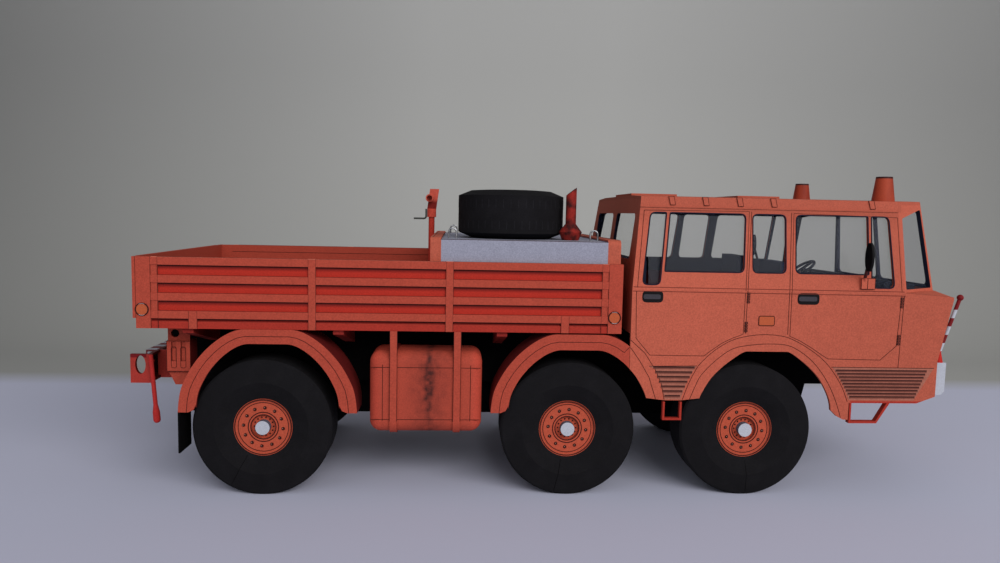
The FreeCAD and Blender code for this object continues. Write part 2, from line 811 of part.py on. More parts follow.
def make_rear_beam():
    half = beam_half_length
    outline = [(beam_rear_x, -beam_web_half_length), (beam_front_x, -half), (beam_front_x, half),
               (beam_rear_x, beam_web_half_length)]
    beam = plan_prism(outline, beam_bottom_z, beam_top_z)
    inset = [(beam_rear_x + beam_sheet, -beam_web_half_length), (beam_front_x, -half + beam_sheet),
             (beam_front_x + overrun, -half + beam_sheet), (beam_front_x + overrun, half - beam_sheet),
             (beam_front_x, half - beam_sheet), (beam_rear_x + beam_sheet, beam_web_half_length)]
    beam = beam.cut(plan_prism(inset, beam_bottom_z + beam_sheet, beam_top_z - beam_sheet))
    pieces = [beam]
    for hand, side in sides:
        y0, y1 = side * (half - beam_sheet), side * (half + beam_sheet / 2)
        lug = box(rear_reach_x, rear_reach_x + lug_length, y0, y1, beam_bottom_z, beam_top_z)
        oval = Part.Ellipse(V(0, 0, 0), lug_hole_half_height, lug_hole_half_width).toShape()
        hole = Part.Face(Part.Wire(oval)).extrude(V(0, 0, 2 * overrun))
        hole.rotate(V(0, 0, 0), upright, 90)
        hole.rotate(V(0, 0, 0), along, 90)
        hole.translate(V(rear_reach_x + lug_hole_inset, (y0 + y1) / 2 + overrun, lug_hole_z))
        pieces.append(lug.cut(hole))
        pieces.append(box(beam_front_x - beam_sheet, frame_rear_x,
                          side * (frame_outer_y - frame_plate), side * frame_outer_y,
                          beam_bottom_z, beam_top_z))
    save("rear_beam", joined(pieces))

    lug_face_y = beam_half_length + beam_sheet / 2
    lever_y = lug_face_y + air + lever_paddle_radius
    top = V(lever_top_x, -lever_y, beam_top_z)
    low = V(lever_bottom_x, -lever_y, lever_bottom_z + lever_paddle_radius)
    way = (low - top).normalize()
    joint = low - way * lever_paddle_height
    rod = Part.makeCylinder(lever_radius, (joint - top).Length, top, way)
    neck = Part.makeCone(lever_radius, lever_paddle_radius, lever_paddle_height / 2, joint, way)
    paddle = Part.makeCylinder(lever_paddle_radius, lever_paddle_height / 2,
                               joint + way * (lever_paddle_height / 2), way)
    tip = Part.makeSphere(lever_paddle_radius, low)
    pin_at = top + way * lever_pin_drop
    pin = Part.makeCylinder(lever_pin_radius, lever_y - lug_face_y, pin_at, across)
    save("drop_levers", both_sides(joined([rod, neck, paddle, tip, pin])))


def make_lamp_boxes():
    x0 = lamp_box_x - lamp_box_length / 2
    x1 = lamp_box_x + lamp_box_length / 2
    outer = lamp_box_y
    inner = lamp_box_y - lamp_box_depth
    body = box(x0, x1, -outer, -inner, lamp_box_bottom_z, lamp_box_top_z)
    slot_low = (lamp_box_bottom_z + lamp_box_top_z) / 2 - lamp_slot_height / 4
    for share in lamp_slot_share:
        slot_x = x0 + lamp_box_length * share
        body = body.cut(box(slot_x - lamp_slot_width / 2, slot_x + lamp_slot_width / 2, -outer - overrun,
                            -outer + lamp_slot_sink, slot_low, slot_low + lamp_slot_height))
    hang_x = lamp_box_x - lamp_hanger_length / 2
    hanger = box(hang_x, hang_x + lamp_hanger_length, -outer + lamp_slot_sink,
                 -outer + lamp_slot_sink + card, lamp_box_top_z, frame_top_z)
    hole_at = V(lamp_box_x + lamp_hanger_length * lamp_hole_share, -outer - overrun, lamp_hole_z)
    hanger = hanger.cut(Part.makeCylinder(lamp_hole_radius, 2 * overrun, hole_at, across))
    tab_z = lamp_box_bottom_z - lamp_tab_height
    toes = [(x0 + lamp_box_length * share, tab_z) for share in lamp_tab_share]
    tab = side_prism([(x0, lamp_box_bottom_z)] + toes + [(x1, lamp_box_bottom_z)],
                     -outer + card, -outer + card + lamp_tab_sheet)
    save("lamp_boxes", both_sides(joined([body, hanger, tab])))


# Cab shell

shoulder_run = cab_roof_half_width - body_half_width
shoulder_rise = cab_roof_z - cab_shoulder_z


def side_y(z):
    """Half width of the cab's outer face at a height."""
    if z <= cab_shoulder_z:
        return body_half_width
    return body_half_width + shoulder_run * (z - cab_shoulder_z) / shoulder_rise


def rear_x(z):
    """Rear face of the cab at a height."""
    if z <= cab_shoulder_z:
        return cab_rear_x
    return cab_rear_x + (cab_rear_roof_x - cab_rear_x) * (z - cab_shoulder_z) / shoulder_rise


def corner_x(z):
    """Front end of the cab's side, where the corner pane starts."""
    return cab_corner_x + (cab_corner_roof_x - cab_corner_x) * (z - cab_shoulder_z) / shoulder_rise


def roof_section(depth):
    """Cross-section of the roof cap's outer face, or of a face depth below it."""
    right = [(-side_y(roof_edge_z) + depth, roof_edge_z),
             (-side_y(roof_band_z) + depth, roof_band_z - depth), (-roof_crown_y, roof_crown_z - depth)]
    left = [(-y, z) for y, z in reversed(right)]
    return right + left


def cab_window_outlines():
    """Side windows from rear to front, each as four (x, z) corners."""
    sills = (window_low_z, window_mid_z, window_mid_z, window_mid_z, window_low_z)
    outlines = []
    for i, sill in enumerate(sills):
        outlines.append([(window_top_x[2 * i], window_top_z), (window_top_x[2 * i + 1], window_top_z),
                         (window_sill_x[2 * i + 1], sill), (window_sill_x[2 * i], sill)])
    return outlines


def cab_side_outline():
    """Outline of the cab's side before its wheel arches are cut, as (x, z) points."""
    points = [(cab_rear_x, cab_shoulder_z), (cab_rear_x, skirt_rear_z[0])]
    points += list(zip(skirt_rear_x, skirt_rear_z))
    points += [(front_arch_x, skirt_rear_z[0]), (front_arch_x, arch_foot_z),
               (arch_foot_front_x, arch_foot_z), (arch_foot_front_x, skirt_z),
               (skirt_front_x, skirt_z), (nose_waist_x, nose_bottom_z), (nose_waist_x, nose_waist_z),
               (nose_tip_x, ledge_low_z), (nose_tip_x, ledge_edge_z),
               (cab_corner_x, cab_shoulder_z), (corner_x(roof_edge_z), roof_edge_z),
               (rear_x(roof_edge_z), roof_edge_z)]
    return points


def cab_side(side):
    section = [(side * body_half_width, 0), (side * body_half_width, cab_shoulder_z),
               (side * side_y(roof_edge_z), roof_edge_z),
               (side * (side_y(roof_edge_z) - card), roof_edge_z),
               (side * (body_half_width - card), cab_shoulder_z),
               (side * (body_half_width - card), 0)]
    slab = end_prism(section, cab_rear_x - overrun, nose_tip_x + overrun)
    shape = slab.common(side_prism(cab_side_outline(), side * (body_half_width + overrun), 0))
    y0 = side * (body_half_width + overrun)
    y1 = side * (body_half_width - overrun)
    shape = shape.cut(under_arch(middle_arch_x, middle_arch_inner_half, middle_arch_base_z,
                                 middle_arch_inner_top_z, 0, y0, y1))
    shape = shape.cut(under_arch(front_arch_x, front_arch_inner_half, front_arch_base_z,
                                 front_arch_inner_top_z, 0, y0, y1, front_half_share))
    foot = front_arch_x + front_arch_inner_half
    toe = [(foot - air, arch_foot_z + overrun), (foot + arch_toe * arch_toe_bend_share, arch_foot_z + card),
           (foot + arch_toe, arch_foot_z), (foot + arch_toe, arch_foot_z - air),
           (foot - air, arch_foot_z - air)]
    shape = shape.cut(side_prism(toe, y0, y1))
    low_y = cab_roof_half_width - overrun
    for outline, shares in zip(cab_window_outlines(), window_round_share):
        wire = rounded([V(x, low_y * side, z) for x, z in outline], window_corner, shares)
        cutter = Part.Face(wire).extrude(V(0, side * 3 * overrun, 0))
        shape = shape.cut(cutter)
    return shape


def face_point(share, z):
    """Point on the cab's corner face: share 0 is the side post, 1 the windscreen's edge."""
    rise = (z - cab_shoulder_z) / shoulder_rise
    reach = 1 + (cab_face_roof_share - 1) * rise
    run = V(cab_face_x - cab_corner_x, body_half_width - cab_face_half_width, 0) * reach
    return V(corner_x(z), -side_y(z), z) + run * share


def screen_corners():
    """Right half of the windscreen, as four points of the front face."""
    low = face_point(1, cab_shoulder_z + shoulder_rise * screen_low_share)
    high = face_point(1, cab_shoulder_z + shoulder_rise * screen_top_share)
    return [V(low.x, low.y * (1 - screen_edge_share), low.z),
            V(low.x, low.y * screen_pillar_share, low.z),
            V(high.x, high.y * screen_pillar_share, high.z),
            V(high.x, high.y * (1 - screen_edge_share), high.z)]


def corner_pane_corners():
    """Right corner pane between the side post and the windscreen."""
    return [face_point(pane_near_share[0], pane_low_z), face_point(pane_far_share[0], pane_low_z),
            face_point(pane_far_share[1], pane_far_top_z),
            face_point(pane_near_share[1], pane_near_top_z)]


def pane_normal(corners):
    """Outward normal of a pane of the cab's front."""
    normal = (corners[1] - corners[0]).cross(corners[3] - corners[0]).normalize()
    return normal if normal.x > 0 else normal * -1


def window_cutter(corners, radius):
    """Rounded prism through a pane, square to its own plane."""
    normal = pane_normal(corners)
    wire = rounded([c - normal * overrun for c in corners], radius)
    return Part.Face(wire).extrude(normal * (2 * overrun))


def inset_plan(points, depth):
    """Corners of a convex plan outline moved inward by depth from both their sides."""
    centre = sum(points, V(0, 0, 0)) * (1 / len(points))
    moved = []
    for i, corner in enumerate(points):
        before = (corner - points[i - 1]).normalize()
        after = (points[(i + 1) % len(points)] - corner).normalize()
        normals = []
        for way in (before, after):
            normal = V(-way.y, way.x, 0)
            normals.append(normal if normal.dot(centre - corner) > 0 else normal * -1)
        total = normals[0] + normals[1]
        moved.append(corner + total * (depth / (1 + normals[0].dot(normals[1]))))
    return moved


def front_block(inset, low_z, high_z):
    """Closed block of the cab's upper front, shrunk inward by inset."""
    rings = []
    for z in (low_z, high_z):
        post = face_point(0, z)
        edge = face_point(1, z)
        back = V(cab_corner_x - 2 * overrun, post.y, z)
        right = [back, post, edge]
        left = [V(p.x, -p.y, p.z) for p in reversed(right)]
        points = inset_plan(right + left, inset) if inset else right + left
        rings.append(Part.makePolygon(points + [points[0]]))
    return Part.makeLoft(rings, True, True)


def make_cab_front():
    top_z = cab_roof_z + card
    shell = front_block(0, cab_shoulder_z, top_z)
    shell = shell.cut(front_block(card, cab_shoulder_z, top_z + card))
    x0 = cab_corner_x - 3 * overrun
    ahead = nose_tip_x + overrun
    under_roof = joined([end_prism(roof_section(card), x0, ahead),
                         box(x0, ahead, -body_half_width, body_half_width,
                             cab_shoulder_z - card, roof_edge_z)])
    shell = shell.common(under_roof)
    behind = side_prism([(x0, cab_shoulder_z - overrun), (cab_corner_x, cab_shoulder_z - overrun),
                         (cab_corner_x, cab_shoulder_z), (corner_x(top_z), top_z), (x0, top_z)],
                        -body_half_width - overrun, body_half_width + overrun)
    shell = shell.cut(behind)
    for corners, radius in ((screen_corners(), window_corner), (corner_pane_corners(), pane_corner)):
        cutter = window_cutter(corners, radius)
        shell = shell.cut(cutter).cut(mirrored(cutter))

    half = body_half_width - card
    low = ledge_low_z
    post = V(cab_corner_x, -half, cab_shoulder_z)
    belt = face_point(1, cab_shoulder_z)
    tip = V(nose_tip_x, belt.y, cab_shoulder_z)
    corner = V(nose_tip_x, -half, ledge_edge_z)
    ledge = [wedge(post, belt, corner, low), wedge(belt, tip, corner, low),
             box(belt.x - card, nose_tip_x, belt.y, 0, low, cab_shoulder_z)]
    run = (belt - post).normalize()
    inward = V(-run.y, run.x, 0) * (2 * card)
    strip = [post, belt, belt + inward, post + inward]
    ledge.append(plan_prism([(p.x, p.y) for p in strip], low, cab_shoulder_z))
    ledge = joined(ledge)
    nose = side_prism([(nose_tip_x, low), (nose_waist_x, nose_waist_z), (nose_waist_x, nose_bottom_z),
                       (nose_waist_x - card, nose_bottom_z), (nose_waist_x - card, nose_waist_z),
                       (nose_tip_x - card, low)], -half, half)
    save("cab_front", joined([shell, ledge, mirrored(ledge), nose]))


def wedge(a, b, c, low_z):
    """Solid under a sloping triangle, down to low_z."""
    top = [a, b, c]
    base = [V(p.x, p.y, low_z) for p in top]
    faces = [face_of(top), face_of(base)]
    for i in range(3):
        j = (i + 1) % 3
        faces.append(face_of([top[i], top[j], base[j], base[i]]))
    solid = Part.Solid(Part.Shell(faces))
    return solid if solid.Volume > 0 else solid.reversed()


def make_cab_rear():
    half = body_half_width - card
    top = roof_section(card)
    section = [(-half, cab_floor_z), (-half, cab_shoulder_z)] + top + [(half, cab_shoulder_z),
                                                                       (half, cab_floor_z)]
    wall = end_prism(section, cab_rear_x - overrun, cab_rear_roof_x + overrun)
    high = cab_roof_z
    lean = [(cab_rear_x, cab_floor_z), (cab_rear_x, cab_shoulder_z), (rear_x(high), high),
            (rear_x(high) + card, high), (cab_rear_x + card, cab_shoulder_z),
            (cab_rear_x + card, cab_floor_z)]
    wall = wall.common(side_prism(lean, -body_half_width, body_half_width))
    for hand, side in sides:
        corners = [V(cab_rear_x - overrun, side * rear_window_inner_y, rear_window_low_z),
                   V(cab_rear_x - overrun, side * rear_window_outer_y, rear_window_low_z),
                   V(cab_rear_x - overrun, side * rear_window_outer_y, rear_window_top_z),
                   V(cab_rear_x - overrun, side * rear_window_inner_y, rear_window_top_z)]
        wall = wall.cut(Part.Face(rounded(corners, window_corner)).extrude(V(4 * overrun, 0, 0)))
    save("cab_rear", wall)


def make_cab_roof():
    x0 = cab_rear_x - overrun
    cap = end_prism(roof_section(0), x0, nose_tip_x)
    cap = cap.cut(end_prism(roof_section(card), x0 - overrun, nose_tip_x + overrun))
    top_z = cab_roof_z + card
    front = front_block(0, cab_shoulder_z, top_z)
    body = side_prism([(rear_x(roof_edge_z), roof_edge_z), (corner_x(roof_edge_z), roof_edge_z),
                       (corner_x(top_z), top_z), (rear_x(top_z), top_z)],
                      -body_half_width, body_half_width)
    cap = cap.common(joined([front, body]))
    pieces = [cap]
    for hand, side in sides:
        pieces.append(box(rear_x(roof_edge_z), corner_x(roof_edge_z),
                          side * (side_y(roof_edge_z) - card / 2),
                          side * (side_y(roof_edge_z) + gutter_proud), roof_edge_z, roof_edge_z + sheet))
    save("cab_roof", joined(pieces))
    hatches = []
    for x, length in ((hatch_rear_x, hatch_rear_length), (hatch_front_x, hatch_front_length)):
        hatches.append(box(x, x + length, -hatch_half_width, hatch_half_width, roof_crown_z,
                           roof_crown_z + hatch_height))
    save("roof_hatches", apart(hatches))


def make_cab_floor():
    half = body_half_width - card
    rear = cab_rear_x + card
    front = nose_waist_x - card
    save("cab_floor", box(rear, front, -half, half, cab_floor_z, cab_floor_z + card))


def pane(corners):
    """Thin sheet behind a pane's opening, a little larger than it."""
    normal = pane_normal(corners)
    middle = sum(corners, V(0, 0, 0)) * (1 / len(corners))
    back = normal * (card + glass_gap + sheet)
    wide = [c + (c - middle).normalize() * glass_lap - back for c in corners]
    return face_of(wide).extrude(normal * sheet)


def make_glazing():
    low = window_low_z - card
    high = window_top_z + card / 2
    near = card + glass_gap
    section = [(-side_y(low) + near, low), (-side_y(high) + near, high),
               (-side_y(high) + near + sheet, high), (-side_y(low) + near + sheet, low)]
    side_pane = end_prism(section, cab_rear_roof_x + 2 * card, cab_corner_roof_x - card)

    half_screen = screen_corners()
    screen = [half_screen[0], V(half_screen[0].x, -half_screen[0].y, half_screen[0].z),
              V(half_screen[3].x, -half_screen[3].y, half_screen[3].z), half_screen[3]]
    corner_pane = pane(corner_pane_corners())

    x_low = rear_x(rear_window_low_z - card) + near
    x_high = rear_x(rear_window_top_z + card) + near
    outline = [(x_low, rear_window_low_z - card), (x_high, rear_window_top_z + card),
               (x_high + sheet, rear_window_top_z + card), (x_low + sheet, rear_window_low_z - card)]
    reach = rear_window_outer_y + card
    rear_pane = side_prism(outline, -reach, reach)
    save("glazing", apart([side_pane, mirrored(side_pane), pane(screen), corner_pane,
                           mirrored(corner_pane), rear_pane]))


def make_cab_inside():
    floor = cab_floor_z + card
    seats = []
    for hand, side in sides:
        y0 = side * (seat_front_y - seat_width / 2)
        y1 = side * (seat_front_y + seat_width / 2)
        cushion = box(seat_front_x, seat_front_x + seat_cushion_length, y0, y1, floor,
                      floor + seat_cushion_height)
        back = box(seat_front_x - seat_back_thickness, seat_front_x, y0, y1, floor,
                   floor + seat_back_height)
        seats.append(joined([cushion, back]))
    cushion = box(bench_x, bench_x + seat_cushion_length, -bench_half_width, bench_half_width, floor,
                  floor + seat_cushion_height)
    back = box(bench_x - seat_back_thickness, bench_x, -bench_half_width, bench_half_width, floor,
               floor + seat_back_height)
    seats.append(joined([cushion, back]))
    save("seats", apart(seats))

    dash = side_prism([(dash_rear_x, dash_top_z - card), (dash_rear_x + card, dash_top_z),
                       (dash_front_x, dash_top_z - card), (dash_front_x, floor),
                       (dash_rear_x + 4 * card, floor)], -dash_half_width, dash_half_width)
    ring = Part.makeTorus(wheel_ring_radius, wheel_rod_radius)
    spoke = Part.makeCylinder(wheel_rod_radius, 2 * wheel_ring_radius, V(-wheel_ring_radius, 0, 0), along)
    column = Part.makeCylinder(2 * wheel_rod_radius, dash_front_x - wheel_hub_x, V(0, 0, 0), upright * -1)
    wheel = joined([ring, spoke, column])
    wheel.rotate(V(0, 0, 0), across, -wheel_tilt)
    wheel.translate(V(wheel_hub_x, seat_front_y, wheel_hub_z))
    save("dashboard", joined([dash, wheel]))


# Front end and fittings

def make_front_end():
    bumper = side_prism([(nose_waist_x, bumper_bottom_z), (bumper_front_x - card, bumper_bottom_z),
                         (bumper_front_x, bumper_bottom_z + card), (bumper_front_x, bumper_top_z),
                         (nose_waist_x, bumper_top_z)], -bumper_half_width, bumper_half_width)
    lamps = []
    lamp_z = (bumper_bottom_z + bumper_top_z) / 2
    for y in (lamp_inner_y, lamp_outer_y):
        for hand, side in sides:
            lamps.append(Part.makeCylinder(lamp_radius, lamp_proud, V(bumper_front_x, side * y, lamp_z),
                                           along))
    save("front_bumper", bumper)
    save("headlamps", apart(lamps))

    base = V(rod_base_x, -rod_y, bumper_top_z)
    top = V(rod_base_x + rod_lean, -rod_y, rod_top_z)
    foot_top = base + V(0, 0, rod_cone_height)
    way = (top - foot_top).normalize()
    cone = Part.makeCone(rod_cone_radius, rod_radius, rod_cone_height, base, upright)
    rod = Part.makeCylinder(rod_radius, (top - foot_top).Length, foot_top, way)
    knuckle = Part.makeSphere(rod_radius, foot_top)
    ball = Part.makeSphere(rod_ball_radius, top)
    save("marker_rods", both_sides(joined([cone, knuckle, rod, ball])))


def make_mirrors():
    oval = Part.Ellipse(V(0, 0, 0), mirror_half_height, mirror_half_width).toShape()
    head = Part.Face(Part.Wire(oval)).extrude(V(0, 0, mirror_thickness))
    head.rotate(V(0, 0, 0), across, 90)
    mirror_y = body_half_width + mirror_reach
    head.translate(V(mirror_x - mirror_thickness / 2, -mirror_y, mirror_z))
    mount_top = cab_shoulder_z + mirror_mount_height + card
    mount_low = mount_top - mirror_mount_height
    wall = side_y(mount_top)
    outer = wall + mirror_mount_proud
    mount = end_prism([(-side_y(mount_low), mount_low), (-outer, mount_low), (-outer, mount_top),
                       (-wall, mount_top)],
                      mirror_mount_x - mirror_mount_length / 2, mirror_mount_x + mirror_mount_length / 2)
    start = V(mirror_mount_x - mirror_mount_length / 4, -outer + mirror_arm_radius, mount_top - card)
    end = V(mirror_x, -mirror_y, mirror_z)
    arm = Part.makeCylinder(mirror_arm_radius, (end - start).Length, start, end - start)
    save("mirrors", both_sides(joined([head, mount, arm])))


def make_beacons():
    foot = V(beacon_x, -beacon_y, cab_roof_z - beacon_sink)
    cone = Part.makeCone(beacon_base_radius, beacon_top_radius, beacon_height + beacon_sink, foot,
                         upright)
    roof = end_prism(roof_section(0), beacon_x - 2 * beacon_base_radius,
                     beacon_x + 2 * beacon_base_radius)
    save("beacons", both_sides(cone.cut(roof)))


def make_steps():
    outer = body_half_width
    rear_loop = side_prism([(step_rear_x, skirt_z), (step_rear_x, step_rear_bottom_z),
                            (step_rear_x + step_rear_length, step_rear_bottom_z),
                            (step_rear_x + step_rear_length, skirt_z)],
                           -outer, -outer + step_rear_depth)
    rear_hole = box(step_rear_x + step_strip, step_rear_x + step_rear_length - step_strip,
                    -outer - overrun, outer, step_rear_bottom_z + step_strip, skirt_z + overrun)
    rear_step = rear_loop.cut(rear_hole)
    x1 = step_front_x + step_front_floor_length
    x2 = step_front_x + step_front_length
    front_loop = side_prism([(step_front_x, skirt_z), (step_front_x, step_front_bottom_z),
                             (x1, step_front_bottom_z), (x2, skirt_z)], -outer, -outer + step_front_depth)
    front_hole = side_prism([(step_front_x + step_strip, skirt_z + card),
                             (step_front_x + step_strip, step_front_bottom_z + step_strip),
                             (x1 - step_strip / 2, step_front_bottom_z + step_strip),
                             (x2 - step_brace, skirt_z), (x2 - step_brace, skirt_z + card)],
                            -outer - overrun, outer)
    front_step = front_loop.cut(front_hole)
    save("steps", apart([rear_step, front_step, mirrored(rear_step), mirrored(front_step)]))


def make_cab():
    for hand, side in sides:
        save("cab_side_" + hand, cab_side(side))
    make_cab_front()
    make_cab_rear()
    make_cab_roof()
    make_cab_floor()
    make_glazing()
    make_cab_inside()


def main():
    make_wheels()
    make_sticks()
    make_axle_housings()
    make_backbone()
    make_bed_floor()
    make_bed_boards()
    make_block()
    make_eyes()
    make_spare()
    make_pipe()
    make_hoist()
    make_tanks()
    make_mudguards()
    make_rear_beam()
    make_lamp_boxes()
    make_cab()
    make_front_end()
    make_mirrors()
    make_beacons()
    make_steps()


main()
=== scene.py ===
import math

import bmesh
import bpy
from bpy.props import FloatProperty, FloatVectorProperty, IntProperty, PointerProperty
from mathutils import Matrix, Vector


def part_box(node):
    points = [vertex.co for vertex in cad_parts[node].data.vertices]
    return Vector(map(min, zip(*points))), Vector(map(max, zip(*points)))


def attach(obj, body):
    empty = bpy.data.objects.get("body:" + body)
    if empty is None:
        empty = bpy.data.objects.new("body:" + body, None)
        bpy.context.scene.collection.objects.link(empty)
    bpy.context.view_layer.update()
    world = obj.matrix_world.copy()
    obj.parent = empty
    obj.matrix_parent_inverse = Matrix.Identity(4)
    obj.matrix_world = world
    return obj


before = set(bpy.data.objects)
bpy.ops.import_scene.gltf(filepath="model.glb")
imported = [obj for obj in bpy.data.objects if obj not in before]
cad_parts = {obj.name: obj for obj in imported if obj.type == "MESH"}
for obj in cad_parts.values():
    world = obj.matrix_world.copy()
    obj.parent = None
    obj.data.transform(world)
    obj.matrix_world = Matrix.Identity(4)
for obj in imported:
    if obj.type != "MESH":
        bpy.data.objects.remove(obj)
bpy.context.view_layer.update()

bl_info = {
    "name": "Card truck dressing",
    "version": (1, 0, 0),
    "blender": (4, 5, 0),
    "location": "3D View > Sidebar > Card truck",
    "description": "Prints, papers and lights a small card model of a six-wheeled crew-cab truck",
    "category": "Object",
}

# Lengths are millimetres: x forward from the rear axle, y from the middle line, z from the floor
MM = 0.001
SIDES = (("right", -1), ("left", 1))

# Line widths as shares of the pen's
FINE, SOFT, FIRM, BOLD, WIDE, HEAVY = 0.8, 0.9, 1.1, 1.3, 1.6, 2.1
# Points on each bend of a smoothed line or a rounded corner
BEND_STEPS = 4

# Shell of the cab
BODY_HALF_WIDTH = 39.0
SHOULDER_Z = 62.4
SIDE_LEAN = 6.1 / 27.2
FRONT_LOW_X = 200.6
FRONT_LOW_Z = 41.7
FRONT_LEAN = 0.199

# Side windows, two ends each along the top and the sill
WINDOW_TOP_X = (112.6, 117.4, 118.5, 141.4, 143.5, 153.6, 156.8, 178.9, 180.0, 185.4)
WINDOW_SILL_X = (109.8, 115.0, 116.5, 140.2, 142.9, 152.9, 155.9, 178.2, 178.9, 185.9)
WINDOW_SILL_Z = (63.7, 67.6, 67.6, 67.6, 63.7)
WINDOW_TOP_Z = 84.8
WINDOW_CORNER = 1.6
WINDOW_ROUND_SHARES = ((1, 0.25, 1, 1), (0.25, 1, 1, 0.25), (1, 1, 1, 1), (1, 0.25, 0.25, 1),
                       (0.25, 1, 1, 1))

# Printed lines of the cab's sides
DOOR_LINES = (
    ((110.7, 85.4), (108.3, 62.8)),
    ((110.7, 85.4), (142.5, 85.6), (140.6, 62.3)),
    ((143.2, 85.6), (141.2, 62.3), (141.1, 49.6)),
    ((155.4, 85.5), (153.8, 62.2), (153.9, 49.5)),
    ((188.1, 62.7), (188.1, 84.7), (156.1, 85.3), (154.5, 62.2), (154.6, 49.0)),
    ((188.1, 61.4), (187.4, 46.4)),
    ((188.9, 61.4), (188.4, 39.8)),
    ((108.0, 61.8), (108.4, 47.9), (112.7, 42.9), (128.9, 42.8), (131.2, 44.6), (134.2, 46.7),
     (137.4, 48.3), (140.4, 49.4), (140.5, 61.6)),
    ((154.6, 49.0), (157.8, 47.6), (161.5, 45.5), (164.7, 43.4), (166.6, 42.3), (182.7, 42.1),
     (187.4, 46.4)),
    ((167.8, 39.8), (199.7, 39.7)),
    ((112.6, 39.6), (126.9, 39.8)),
)
CAB_ARCH_LINES = (
    ((123.0, 29.6), (124.5, 34.0), (126.2, 37.75), (128.0, 40.6), (132.2, 44.6), (137.0, 47.5),
     (142.0, 48.9), (147.6, 49.4), (153.4, 48.75), (157.8, 46.9), (161.5, 44.7), (164.7, 42.4),
     (167.4, 39.7), (170.0, 36.2), (171.9, 32.9), (173.4, 29.3)),
    ((125.1, 29.6), (126.7, 33.7), (128.4, 37.1), (132.3, 41.3), (137.2, 44.9), (142.2, 46.1),
     (148.2, 46.6), (154.2, 46.2), (158.7, 44.0), (162.4, 41.0), (165.5, 37.3), (168.1, 33.1),
     (170.3, 28.2), (171.6, 24.4)),
)
REAR_EDGES = (
    ((106.9, 45.1), (109.8, 41.1), (112.7, 36.3), (114.9, 29.8)),
    ((106.9, 47.3), (111.2, 43.5), (114.4, 38.75), (116.4, 34.6), (117.5, 29.6)),
)
BELT_LINES = (((107.2, 63.0), (188.9, 62.7)), ((107.0, 61.8), (189.2, 61.5)))

# Roof clips: the corners' places along, inward and up
CLIPS_X = (119.1, 129.3, 139.7, 150.0, 180.3)
CLIP_CORNERS = ((-0.55, 0.1, 87.1), (0.95, 0.1, 87.1), (0.6, 0.0, 89.6), (-1.0, 0.0, 89.6))
CLIP_SHEET = 0.35

# Grilles: number of slots, first and last slot as rear end, front end and height, and outline
GRILLES = (
    (7, (113.6, 126.6, 39.9), (117.9, 121.9, 29.9),
     ((112.7, 39.5), (126.8, 39.7), (124.3, 35.6), (122.4, 29.6), (117.7, 29.6), (116.5, 34.6),
      (114.6, 38.6))),
    (9, (168.9, 197.6, 39.2), (174.2, 194.0, 30.2),
     ((168.2, 39.7), (199.5, 39.6), (193.9, 29.8), (173.8, 29.8), (172.4, 33.0), (170.4, 36.6))),
)
GRILLE_SHEET = 0.04
# Foot, head and reach outward
GRILLE_SLOT = (0.0, 0.4, 0.1)
GRILLE_BLADE = (-0.3, 0.0, 0.14)

# Door handles, hinges and side marker lamps
HANDLES_X = ((109.8, 116.0), (156.3, 162.9))
RECESS_Z, RECESS_CORNER, RECESS_SHEET = (58.5, 61.9), 1.3, 0.08
GRIP_Z, GRIP_CORNER, GRIP_SHEET, GRIP_OUT = (59.5, 60.9), 0.6, 0.3, 0.05
GRIP_REAR_GAP, GRIP_FRONT_GAP = 0.3, 0.8
HINGES = ((141.45, 58.7, 62.0), (141.15, 50.1, 53.3), (188.2, 57.9, 61.2), (187.9, 46.7, 49.9))
HINGE_KNUCKLES = 4
# Half width, foot and head as shares of the pitch, reach outward and bevel
KNUCKLE = (0.45, (0.0, 0.8), (0.0, 0.3), 0.08)
KNUCKLE_CENTRE = (0.16, (0.2, 0.6), (0.26, 0.36), 0.0)
MARKER_LAMP = (144.9, 149.6, 52.1, 54.9)
MARKER_CORNER, MARKER_SHEET, MARKER_RIM_OUT = 0.5, 0.15, 0.12

# Load bed
RIB_LOW_Z, RIB_PITCH, RIB_HEIGHT, RIB_COUNT = 52.0, 5.067, 2.2, 4
RIB_SPANS = ((-28.3, 13.5), (15.6, 52.6), (54.7, 97.9))
BOARD_LINES_X = (-30.3,) + sum(RIB_SPANS, ()) + (99.9,)
BOARD_FOOT_LINES_X = (-19.9, -17.6, 86.2, 88.5)
BOARD_LOW_Z, BOARD_FOOT_Z, BOARD_TOP_Z = 49.2, 54.1, 69.4
BOARD_TOP_X = (-30.0, 99.8)
BOARD_SHADOW_Y, BOARD_LINE_Y = 38.75, 38.95
END_LINE_X, END_LINE_Y = -34.4, 38.98
INNER_LINES_X, INNER_LINES_Z, INNER_LINES_Y = (-30.3, 45.0), (57.0, 62.0, 66.9), 37.6
BED_LAMPS = ((-32.7, 54.5), (101.8, 53.8))
BED_LAMP_RADIUS, BED_LAMP_SIDES, BED_LAMP_SHEET, BED_LAMP_RIM_OUT = 1.75, 20, 0.12, 0.1
LAMP_MARK_RADIUS, LAMP_MARK_Y, LAMP_MARK_TURNS = 1.7, 39.2, (-0.5, -0.25, 0.0, 0.25, 0.5)

# Mudguards: centre x, foot z, half width and top z, with shares of half width and rise
REAR_ARCH = (2.0, 24.9, 23.0, 47.1)
MIDDLE_ARCH = (92.0, 25.2, 23.4, 46.45)
MIDDLE_ARCH_END = (106.6, 45.2)
ARCH_SHARES = ((1.0, 0.0), (0.985, 0.16), (0.955, 0.30), (0.905, 0.42), (0.83, 0.56),
               (0.74, 0.685), (0.65, 0.785), (0.56, 0.865), (0.46, 0.935), (0.365, 0.98),
               (0.27, 1.0))

